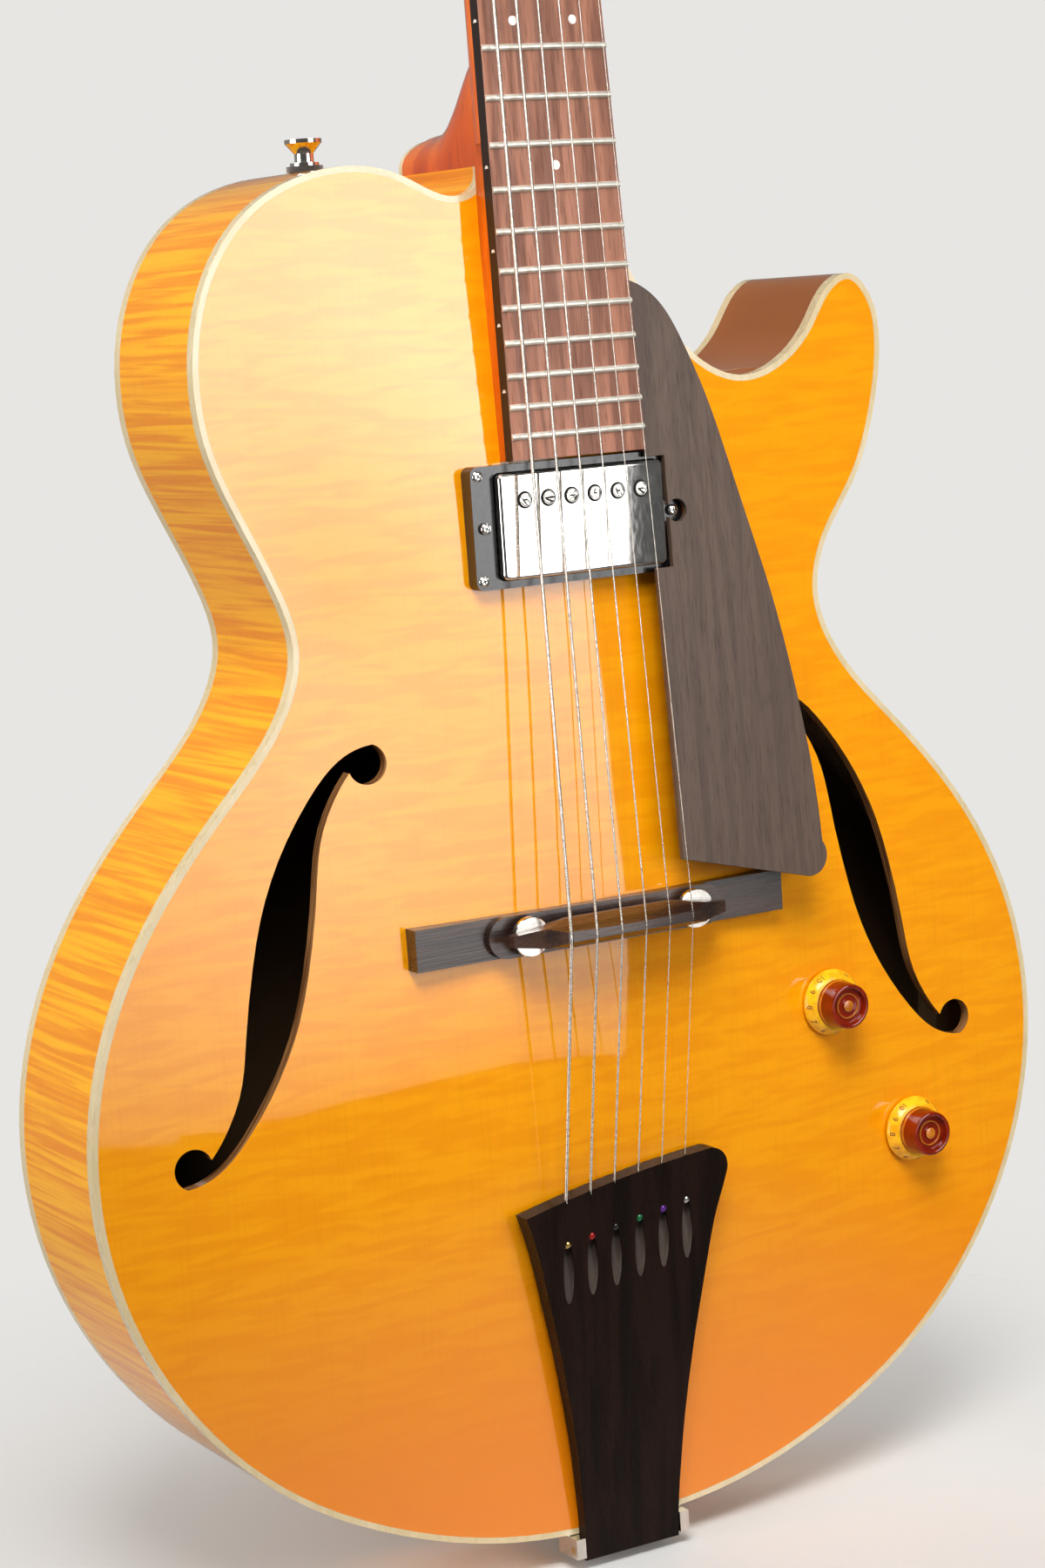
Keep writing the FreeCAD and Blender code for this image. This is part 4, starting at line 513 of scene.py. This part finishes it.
ridges = add_node(winding, "TexWave", Scale=700, Distortion=0.3)
ridges.bands_direction = "Z"
linked(winding, (add_node(winding, "TexCoord").outputs["Object"], ridges.inputs["Vector"]))
relief(string_steel, ridges.outputs["Fac"], depth=0.00006)
print("binding, bone and metal:", len(bpy.data.materials), "materials so far")

# %% [markdown]
# ## Plastic and felt
# Black plastic keeps a faint orange peel from its mould, and felt scatters light from its fibres. The
# knobs are clear amber plastic with paint behind it. Real layers of clear plastic would be slow to render
# and dark from the side, so skirt, cap and gold each get a colour of their own under a clear coat.

# %% Make the finishes of plastic and felt
black_plastic = plain("black_plastic", (0.018, 0.017, 0.016, 1), (0.010, 0.010, 0.010, 1), scale=500,
                      rough=0.20, depth=0.000008, Specular_IOR_Level=0.8)
coil_plastic = plain("coil_plastic", (0.022, 0.020, 0.018, 1), (0.010, 0.009, 0.008, 1), scale=700,
                     rough=0.6, depth=0.00002, Specular_IOR_Level=0.1)
amber_skirt = plain("amber_skirt", (1.0, 0.53, 0.012, 1), (0.86, 0.37, 0.006, 1), scale=260, rough=0.16,
                    Coat_Weight=0.5, Coat_Roughness=0.02, Specular_IOR_Level=0.15)
amber_cap = plain("amber_cap", (0.27, 0.016, 0.002, 1), (0.19, 0.009, 0.001, 1), scale=220, rough=0.12,
                  Coat_Weight=0.8, Coat_Roughness=0.02, Specular_IOR_Level=0.15, Transmission_Weight=0.15)
# Gold paint, also used as a painted highlight on the ring in the cap's top.
amber_gold_and_highlight = plain("amber_gold_and_highlight", (0.58, 0.19, 0.010, 1), (0.44, 0.12, 0.006, 1), scale=300, rough=0.2,
                   Coat_Weight=0.5, Coat_Roughness=0.02)
ink = plain("dial_ink", (0.16, 0.018, 0.008, 1), (0.09, 0.010, 0.005, 1), scale=900, rough=0.4)
felt = plain("black_felt", (0.030, 0.028, 0.027, 1), (0.012, 0.011, 0.011, 1), scale=2600, rough=0.95,
             depth=0.0002, Sheen_Weight=0.6)
print("plastic and felt:", len(bpy.data.materials), "materials so far")

# %% [markdown]
# ## Dress the solids
# The record names the material of every solid. The solids keep their shapes and only take a finish.
# The bridge and the pickguard share the record's dark woods, but each has a finish of its own, because
# their grain runs another way. The hanger, the pickup cover and the frets are picked out by name too,
# because their metal is polished differently. A list by material dresses the rest in one loop.

# %% Give every solid its finish
BY_SLOT = {
    "top_maple": top_maple, "back_maple": back_maple, "side_maple": side_maple, "inner_wood": inner_wood,
    "cream_binding": cream, "mahogany": mahogany, "rosewood": rosewood, "ebony": ebony, "bone": bone,
    "nickel": nickel, "string_steel": string_steel, "black_plastic": black_plastic,
    "coil_plastic": coil_plastic, "amber_plastic": amber_skirt, "pearl_dot": pearl, "brass_hinge": brass,
    "zinc_pot": zinc, "black_felt": felt,
}
BY_NODE = {"bridge_base": bridge_wood, "bridge_saddle": bridge_wood, "pickguard": guard_wood,
           "tailpiece_hanger": nickel, "pickup_cover": chrome, "frets": fret_metal}


def dress(piece, made):
    """Gives a piece one finish."""
    piece.data.materials.clear()
    piece.data.materials.append(made)


slot_of = {row["node"]: row["material_slot"] for row in frame["record"]["subparts"]}
for node, slot in slot_of.items():
    dress(nodes[node], BY_NODE.get(node, BY_SLOT[slot]))
print(len(slot_of), "solids dressed")

# %% [markdown]
# ## Soft edges
# Carved and moulded pieces never have knife edges: sandpaper and moulds leave them round. The rounding
# could be cut into the solids, but it changes no fit, so it belongs to the looks. A copy of the solid's
# mesh is cleaned of its triangles, its sharp edges are bevelled, and the copy stands for the solid.

# %% Helpers that copy a solid and round its edges
MERGED = 0.00002
FLAT = math.radians(1)
SHARP = math.radians(35)
SMOOTH = math.radians(40)
LEVEL_WEIGHT = 100


def alone(piece):
    """Makes one piece the active and only selected one."""
    bpy.ops.object.select_all(action="DESELECT")
    piece.select_set(True)
    bpy.context.view_layer.objects.active = piece


def copy_of(piece, name):
    """Second piece with a mesh of its own."""
    twin = bpy.data.objects.new(name, piece.data.copy())
    scene.collection.objects.link(twin)
    return twin


def softened(node, body, width, steps=3):
    """Copy of a solid with its sharp edges rounded, in place of the solid."""
    piece = copy_of(nodes[node], node + "_soft")
    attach(piece, body)
    alone(piece)
    bpy.ops.object.mode_set(mode="EDIT")
    bpy.ops.mesh.select_all(action="SELECT")
    bpy.ops.mesh.remove_doubles(threshold=MERGED)
    bpy.ops.mesh.dissolve_limited(angle_limit=FLAT)
    bpy.ops.mesh.normals_make_consistent(inside=False)
    bpy.ops.object.mode_set(mode="OBJECT")
    rounding = piece.modifiers.new("rounding", "BEVEL")
    rounding.width = width
    rounding.segments = steps
    rounding.limit_method = "ANGLE"
    rounding.angle_limit = SHARP
    bpy.ops.object.modifier_apply(modifier="rounding")
    bpy.ops.object.shade_smooth_by_angle(angle=SMOOTH)
    levelling = piece.modifiers.new("levelling", "WEIGHTED_NORMAL")
    levelling.weight = LEVEL_WEIGHT
    levelling.keep_sharp = True
    bpy.ops.object.modifier_apply(modifier="levelling")
    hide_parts(node)
    print(piece.name, len(piece.data.polygons), "faces")
    return piece


print("edges sharper than", round(math.degrees(SHARP)), "degrees will be rounded")

# %% Round the edges of the carved and moulded pieces
softened("bridge_base", "guitar", width=0.0009)
softened("pickup_ring", "guitar", width=0.0005)
tailpiece = softened("tailpiece", "guitar", width=0.0007)
softened("pickguard", "guitar", width=0.0003, steps=2)
softened("nut", "guitar", width=0.0002, steps=2)
softened("truss_rod_cover", "guitar", width=0.0003, steps=2)
softened("bridge_saddle", "saddle", width=0.0003, steps=2)

# %% [markdown]
# ## Turned pieces
# Knobs, wheels and ball ends are turned on a lathe or cast from a turned pattern. A profile could be
# spun round its axis, which leaves a seam to merge. Here a circle is extruded from station to station and
# resized at each, the way a profile is read off a drawing, and no seam arises. The finished piece is then
# laid on its axis and moved to its place.

# %% Helper that turns a profile
TURNED_SMOOTH = math.radians(35)


def turned(name, profile, sides):
    """Solid of revolution about Z through (radius, height) stations, in metres."""
    radius, height = profile[0]
    bpy.ops.object.select_all(action="DESELECT")
    bpy.ops.mesh.primitive_circle_add(vertices=sides, radius=radius, fill_type="NGON", location=(0, 0, 0))
    piece = bpy.context.object
    piece.name = name
    bpy.ops.object.mode_set(mode="EDIT")
    bpy.ops.mesh.select_all(action="SELECT")
    bpy.ops.transform.translate(value=(0, 0, height))
    for next_radius, next_height in profile[1:]:
        bpy.ops.mesh.extrude_region_move(TRANSFORM_OT_translate={"value": (0, 0, next_height - height)})
        share = next_radius / radius
        bpy.ops.transform.resize(value=(share, share, 1), center_override=(0, 0, next_height))
        radius, height = next_radius, next_height
    bpy.ops.mesh.select_all(action="SELECT")
    bpy.ops.mesh.normals_make_consistent(inside=False)
    bpy.ops.object.mode_set(mode="OBJECT")
    bpy.ops.object.shade_smooth_by_angle(angle=TURNED_SMOOTH)
    return piece


print("turning helper ready")

# %% [markdown]
# ## Knobs
# Each knob is a top hat of clear amber plastic over gold paint: a sloping skirt with the numbers of a
# dial, and a cap that looks dark red. In the sunk top of the cap a post shines gold, where the paint comes
# close, and so does the cap's foot; a raised ring there is painted gold as a highlight. Skirt and cap are
# turned as two pieces, because their colours meet in a sharp line, and the gold is given to faces of the cap.

# %% Turn a skirt and a cap
MM = 0.001
KNOB_SIDES = 96
SKIRT = [(12.7, 0.0), (13.0, 0.3), (13.0, 0.9), (12.8, 1.2), (10.9, 4.5), (10.6, 4.7), (9.6, 4.8)]
CAP = [(9.5, 4.4), (9.5, 5.2), (9.35, 5.4), (9.25, 6.6), (8.75, 12.9), (8.55, 13.35), (8.2, 13.55),
       (7.5, 13.5), (7.1, 13.2), (6.9, 11.4), (5.0, 11.3), (4.9, 11.8), (4.6, 11.8), (4.5, 11.3),
       (2.4, 11.2), (2.2, 12.2), (1.6, 12.4)]
HIGHLIGHT_RING_INNER, HIGHLIGHT_RING_OUTER, HIGHLIGHT_RING_ABOVE = 4.5, 5.0, 11.35
POST_WITHIN, POST_ABOVE = 2.1, 11.5
FOOT_FROM, FOOT_TO = 5.4, 6.6


def in_metres(profile):
    """Profile of (radius, height) stations in millimetres, given in metres."""
    return [(radius * MM, height * MM) for radius, height in profile]


low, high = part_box("volume_knob")
print("knob", round((high.x - low.x) / MM, 1), "across", round((high.y - low.y) / MM, 1), "tall")
skirt = turned("volume_skirt", in_metres(SKIRT), KNOB_SIDES)
cap = turned("volume_cap", in_metres(CAP), KNOB_SIDES)
gold_and_highlight_faces = []
for face in cap.data.polygons:
    out = math.hypot(face.center.x, face.center.y) / MM
    tall = face.center.z / MM
    # The ring's gold is a painted highlight; the post and the foot show the knob's gold paint.
    ring = HIGHLIGHT_RING_INNER < out < HIGHLIGHT_RING_OUTER and tall > HIGHLIGHT_RING_ABOVE
    post = out < POST_WITHIN and tall > POST_ABOVE
    foot = FOOT_FROM < tall < FOOT_TO
    if ring or post or foot:
        gold_and_highlight_faces.append(face.index)
print(len(gold_and_highlight_faces), "gold faces on the cap")

# %% [markdown]
# ### Dial numbers
# The numbers from 0 to 10 are generic dial marks, printed under the clear skirt. A printed pattern would
# blur at this size, so each number is a text made into a mesh, laid on the slope as thin ink and turned to
# its place on the dial.

# %% Number the skirt
NUMBER_SIZE = 3.4 * MM
NUMBER_THICK = 0.03 * MM
NUMBER_OUT = 11.93 * MM
NUMBER_RISE = 2.75 * MM
FIRST_NUMBER = 150
NUMBER_STEP = 30


def spun(piece, degrees):
    """Turns a piece about its own axis."""
    piece.data.transform(Matrix.Rotation(math.radians(degrees), 4, "Z"))


slope_foot, slope_head = SKIRT[3], SKIRT[4]
slope = math.atan2(slope_foot[0] - slope_head[0], slope_head[1] - slope_foot[1])
on_slope = Matrix.Translation((0, -NUMBER_OUT, NUMBER_RISE)) @ Matrix.Rotation(math.pi / 2 - slope, 4, "X")
marks = []
for number in range(11):
    bpy.ops.object.text_add(location=(0, 0, 0))
    mark = bpy.context.object
    mark.data.body = str(number)
    mark.data.size = NUMBER_SIZE
    mark.data.extrude = NUMBER_THICK
    mark.data.align_x = "CENTER"
    mark.data.align_y = "CENTER"
    bpy.ops.object.convert(target="MESH")
    mark = bpy.context.object
    mark.data.transform(on_slope)
    spun(mark, FIRST_NUMBER - NUMBER_STEP * number)
    marks.append(mark)
bpy.ops.object.select_all(action="DESELECT")
for mark in marks:
    mark.select_set(True)
bpy.context.view_layer.objects.active = marks[0]
bpy.ops.object.join()
numbers = bpy.context.object
numbers.name = "volume_numbers"
print(len(marks), "numbers on a slope of", round(math.degrees(slope)), "degrees")

# %% [markdown]
# ### Setting a turned piece
# On the guitar a knob is pressed on its shaft. Here the finished mesh is laid along the shaft's axis and
# moved to the middle of the solid that it stands for. The move goes into the mesh and not into the object,
# so that every finish still reads the guitar's own coordinates.

# %% Set both knobs on their shafts
FRONT = Vector((0, -1, 0))


def fitted(piece, body, made, spot, out):
    """Lays a turned piece with its axis along a direction, and gives it its body and finish."""
    piece.data.transform(Matrix.Translation(spot) @ out.to_track_quat("Z", "Y").to_matrix().to_4x4())
    dress(piece, made)
    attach(piece, body)


def back_middle(node):
    """Middle of a node's box on its back side, where a turned piece stands."""
    low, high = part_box(node)
    return Vector(((low.x + high.x) / 2, high.y, (low.z + high.z) / 2))


def inlaid(piece, faces, made):
    """Gives some faces of a piece a second finish, such as a dark one painted as shade where light doesn't
    reach.
    """
    piece.data.materials.append(made)
    for number in faces:
        piece.data.polygons[number].material_index = 1


volume_pieces = (skirt, cap, numbers)
tone_pieces = [copy_of(part, part.name.replace("volume", "tone")) for part in volume_pieces]
for label, pieces in (("volume", volume_pieces), ("tone", tone_pieces)):
    spot = back_middle(label + "_knob")
    for part, made in zip(pieces, (amber_skirt, amber_cap, ink)):
        fitted(part, label + "_knob", made, spot, FRONT)
    inlaid(pieces[1], gold_and_highlight_faces, amber_gold_and_highlight)
    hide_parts(label + "_knob")
    print(label, "knob at", [round(place, 3) for place in spot])

# %% [markdown]
# ## Thumbwheels
# The two wheels under the saddle are knurled so that fingers can turn them. The teeth could be copies of
# one tooth round the wheel. It is simpler to draw in every second point of the outer edge a little.

# %% Turn the wheels and knurl them
WHEEL_POINTS = 128
TOOTH = 2 * math.pi / WHEEL_POINTS
KNURL = 0.96
RIM_CUT = 0.3 * MM
RIM_NEAR = 0.1 * MM
HUB_RADIUS = 2.1 * MM

low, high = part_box("thumbwheel_bass")
wheel_radius = (high.x - low.x) / 2
wheel_thick = high.y - low.y
wheel_profile = [(HUB_RADIUS, 0), (wheel_radius - RIM_CUT, 0), (wheel_radius, RIM_CUT),
                 (wheel_radius, wheel_thick - RIM_CUT), (wheel_radius - RIM_CUT, wheel_thick),
                 (HUB_RADIUS, wheel_thick)]
wheel = turned("wheel_bass_knurled", wheel_profile, WHEEL_POINTS)
alone(wheel)
for vertex in wheel.data.vertices:
    outer = math.hypot(vertex.co.x, vertex.co.y) > wheel_radius - RIM_NEAR
    tooth = round(math.atan2(vertex.co.y, vertex.co.x) / TOOTH)
    vertex.select = outer and tooth % 2 == 0
bpy.ops.object.mode_set(mode="EDIT")
bpy.ops.mesh.select_mode(type="VERT")
bpy.ops.transform.resize(value=(KNURL, KNURL, 1), center_override=(0, 0, 0))
bpy.ops.object.mode_set(mode="OBJECT")
other_wheel = copy_of(wheel, "wheel_treble_knurled")
for label, part in (("bass", wheel), ("treble", other_wheel)):
    fitted(part, "wheel_" + label, nickel, back_middle("thumbwheel_" + label), FRONT)
    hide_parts("thumbwheel_" + label)
print("wheels", round(wheel_radius / MM, 2), "mm in radius")

# %% [markdown]
# ## Pole screws
# The six pole screws have slotted heads that stand at different angles, as a player leaves them, each in
# a gap of the cover, drawn as a thin dark disc of painted shade. A slot could be cut by a box, but on a
# plain head two cuts across the top and one push downwards are enough. One head is made and copied.
# The walls and the slot's floor, which light hardly reaches, get a dark finish as painted shade.

# %% Model a slotted head
HEAD_SIDES = 48
# Share of the screw's radius, and height in millimetres.
HEAD = [(1.0, 0.0), (1.0, 0.6), (0.93, 0.85), (0.8, 0.95)]
SLOT_HALF = 0.42 * MM
SLOT_NEAR = 0.05 * MM
SLOT_DEEP = 0.7 * MM
HEAD_TOP = 0.9 * MM
HEAD_HALF = 0.5 * MM
LEVEL = 0.9
UPRIGHT = 0.3

low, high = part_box("pole_screws")
pole_radius = (high.z - low.z) / 2
head = turned("pole_head_1", [(share * pole_radius, tall * MM) for share, tall in HEAD], HEAD_SIDES)
alone(head)
bpy.ops.object.mode_set(mode="EDIT")
for edge in (-SLOT_HALF, SLOT_HALF):
    bpy.ops.mesh.select_all(action="SELECT")
    bpy.ops.mesh.bisect(plane_co=(edge, 0, 0), plane_no=(1, 0, 0))
bpy.ops.mesh.select_all(action="DESELECT")
bpy.ops.object.mode_set(mode="OBJECT")
for face in head.data.polygons:
    face.select = face.normal.z > LEVEL and abs(face.center.x) < SLOT_NEAR and face.center.z > HEAD_TOP
bpy.ops.object.mode_set(mode="EDIT")
bpy.ops.mesh.select_mode(type="FACE")
bpy.ops.mesh.extrude_region_move(TRANSFORM_OT_translate={"value": (0, 0, -SLOT_DEEP)})
bpy.ops.object.mode_set(mode="OBJECT")
# Painted shade: the walls and the slot's floor take a dark finish.
painted_shade_faces = [face.index for face in head.data.polygons
              if abs(face.normal.z) < UPRIGHT or (face.normal.z > LEVEL and face.center.z < HEAD_HALF)]
print("slotted head with", len(painted_shade_faces), "dark faces")

# %% Set six slotted heads in their gaps
POLES = 6
SHADE_DISC_SHARE = 1.34
SHADE_DISC_THICK = 0.05 * MM
FIRST_SLOT = 35
SLOT_STEP = 40

pole_step = (high.x - low.x - 2 * pole_radius) / (POLES - 1)
# Painted shade: each gap is a thin dark disc laid on the cover.
shade_disc = turned("pole_gap_1", [(SHADE_DISC_SHARE * pole_radius, 0), (SHADE_DISC_SHARE * pole_radius, SHADE_DISC_THICK)], HEAD_SIDES)
heads = [head] + [copy_of(head, "pole_head_%d" % (k + 1)) for k in range(1, POLES)]
shade_discs = [shade_disc] + [copy_of(shade_disc, "pole_gap_%d" % (k + 1)) for k in range(1, POLES)]
cover_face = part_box("pickup_cover")[0].y
for k, (screw, ring) in enumerate(zip(heads, shade_discs)):
    spot = Vector((low.x + pole_radius + k * pole_step, cover_face, (low.z + high.z) / 2))
    spun(screw, FIRST_SLOT + SLOT_STEP * k)
    fitted(screw, "pickup", nickel, spot, FRONT)
    # Painted shade on the walls and the slot's floor.
    inlaid(screw, painted_shade_faces, coil_plastic)
    fitted(ring, "pickup", coil_plastic, spot, FRONT)
print("pole screws", round(pole_radius / MM, 2), "mm in radius,", round(pole_step / MM, 2), "mm apart")

# %% [markdown]
# ## Ring screws
# Four small domed screws hold the pickup ring at its corners, and two more at its ends set the height of
# the pickup. They have a cross recess, which no single push can give, so it is cut by two small bars. The
# floor of the recess gets a dark finish as painted shade.

# %% Model a domed head with a cross recess
DOME = [(2.1, 0.0), (2.1, 0.1), (1.9, 0.4), (1.4, 0.65), (1.1, 0.7)]
ARM_SIZE = (2.2 * MM, 0.5 * MM, 0.6 * MM, 1)
ARM_RISE = 0.6 * MM

dome = turned("ring_head_1", in_metres(DOME), HEAD_SIDES)
bpy.ops.mesh.primitive_cube_add(size=1, location=(0, 0, ARM_RISE))
first_arm = bpy.context.object
first_arm.data.transform(Matrix.Diagonal(ARM_SIZE))
bpy.ops.object.transform_apply(location=True)
second_arm = copy_of(first_arm, "second_arm")
second_arm.data.transform(Matrix.Rotation(math.pi / 2, 4, "Z"))
for arm in (first_arm, second_arm):
    alone(dome)
    recess = dome.modifiers.new("recess", "BOOLEAN")
    recess.operation = "DIFFERENCE"
    recess.object = arm
    bpy.ops.object.modifier_apply(modifier="recess")
    bpy.data.objects.remove(arm)
recess_shade_faces = [face.index for face in dome.data.polygons
               if face.normal.z > LEVEL and face.center.z < HEAD_HALF]
print("domed head with", len(recess_shade_faces), "faces in its recess")

# %% Set six domed heads on the ring
CORNER_INSET = Vector((2.9 * MM, 0, 3.4 * MM))
END_INSET = 4.5 * MM
END_LIFT = 1.2 * MM
FIRST_CROSS = 20
CROSS_STEP = 33

ring_low, ring_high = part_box("pickup_ring")
spots = [Vector((x, ring_low.y, z))
         for x in (ring_low.x + CORNER_INSET.x, ring_high.x - CORNER_INSET.x)
         for z in (ring_low.z + CORNER_INSET.z, ring_high.z - CORNER_INSET.z)]
spots += [Vector((x, ring_low.y - END_LIFT, (ring_low.z + ring_high.z) / 2))
          for x in (ring_low.x + END_INSET, ring_high.x - END_INSET)]
domes = [dome] + [copy_of(dome, "ring_head_%d" % (k + 1)) for k in range(1, len(spots))]
for k, (screw, spot) in enumerate(zip(domes, spots)):
    spun(screw, FIRST_CROSS + CROSS_STEP * k)
    fitted(screw, "guitar", nickel, spot, FRONT)
    # Painted shade: the floor of the cross recess takes a dark finish.
    inlaid(screw, recess_shade_faces, coil_plastic)
print(len(domes), "ring screws")

# %% [markdown]
# ## Ball ends
# Each string ends in a small rounded barrel that sits in its groove of the tailpiece. The barrels are
# coloured so that a player can tell the strings apart. Each one is turned and covers the plain ball of its
# string, whose middle is read from the solid. The grooves are cut through the dark surface, so their faces
# get paler bare wood.

# %% Turn a barrel for each string
BARRELS = [("brass", (0.62, 0.42, 0.15, 1), 1.0), ("red", (0.38, 0.010, 0.008, 1), 0.3),
           ("black", (0.006, 0.006, 0.006, 1), 0.1), ("green", (0.008, 0.15, 0.05, 1), 0.3),
           ("purple", (0.13, 0.02, 0.30, 1), 0.3), ("plain", (0.60, 0.59, 0.56, 1), 1.0)]
BARREL = [(0.8, -2.1), (1.5, -1.75), (2.0, -1.1), (2.2, -0.4),
          (2.2, 0.4), (2.0, 1.1), (1.5, 1.75), (0.8, 2.1)]
BARREL_SIDES = 40
BARREL_OUT = FRONT * 0.3 * MM
ACROSS = Vector((1, 0, 0))
BALL_LONG = 3.8 * MM
GROOVE_WIDE = 2.6 * MM
GROOVE_LONG = 26 * MM
GROOVE_FACE = 30 * MM * MM
GROOVE_TILT = -0.1

groove_wood, figure = wood("groove_wood", (0.066, 0.048, 0.038, 1), (0.042, 0.029, 0.023, 1),
                           bands=(120, 120, 30), grain=(1700, 1700, 200), rough=0.45, strength=0.4,
                           depth=0.00003)
colour(groove_wood, figure)


def ball_middle(string):
    """Middle of the ball at the lower end of a string."""
    corners = [vertex.co for vertex in nodes["string_%d" % string].data.vertices]
    foot = min(corner.z for corner in corners)
    ball = [corner for corner in corners if corner.z < foot + BALL_LONG]
    return Vector([(min(c[axis] for c in ball) + max(c[axis] for c in ball)) / 2 for axis in range(3)])


groove_faces = []
for string, (word, shade, metal) in enumerate(BARRELS, 1):
    middle = ball_middle(string)
    for face in tailpiece.data.polygons:
        place = face.center - middle
        beside = abs(place.x) < GROOVE_WIDE and -GROOVE_LONG < place.z < 0
        if beside and face.normal.y < GROOVE_TILT and face.area < GROOVE_FACE:
            groove_faces.append(face.index)
    made = plain("barrel_" + word, shade, deeper(shade, 0.7), scale=600, rough=0.15, Metallic=metal)
    barrel = turned("barrel_%d" % string, in_metres(BARREL), BARREL_SIDES)
    fitted(barrel, "guitar", made, middle + BARREL_OUT, ACROSS)
inlaid(tailpiece, groove_faces, groove_wood)
print(len(BARRELS), "barrels,", len(groove_faces), "faces in their grooves")
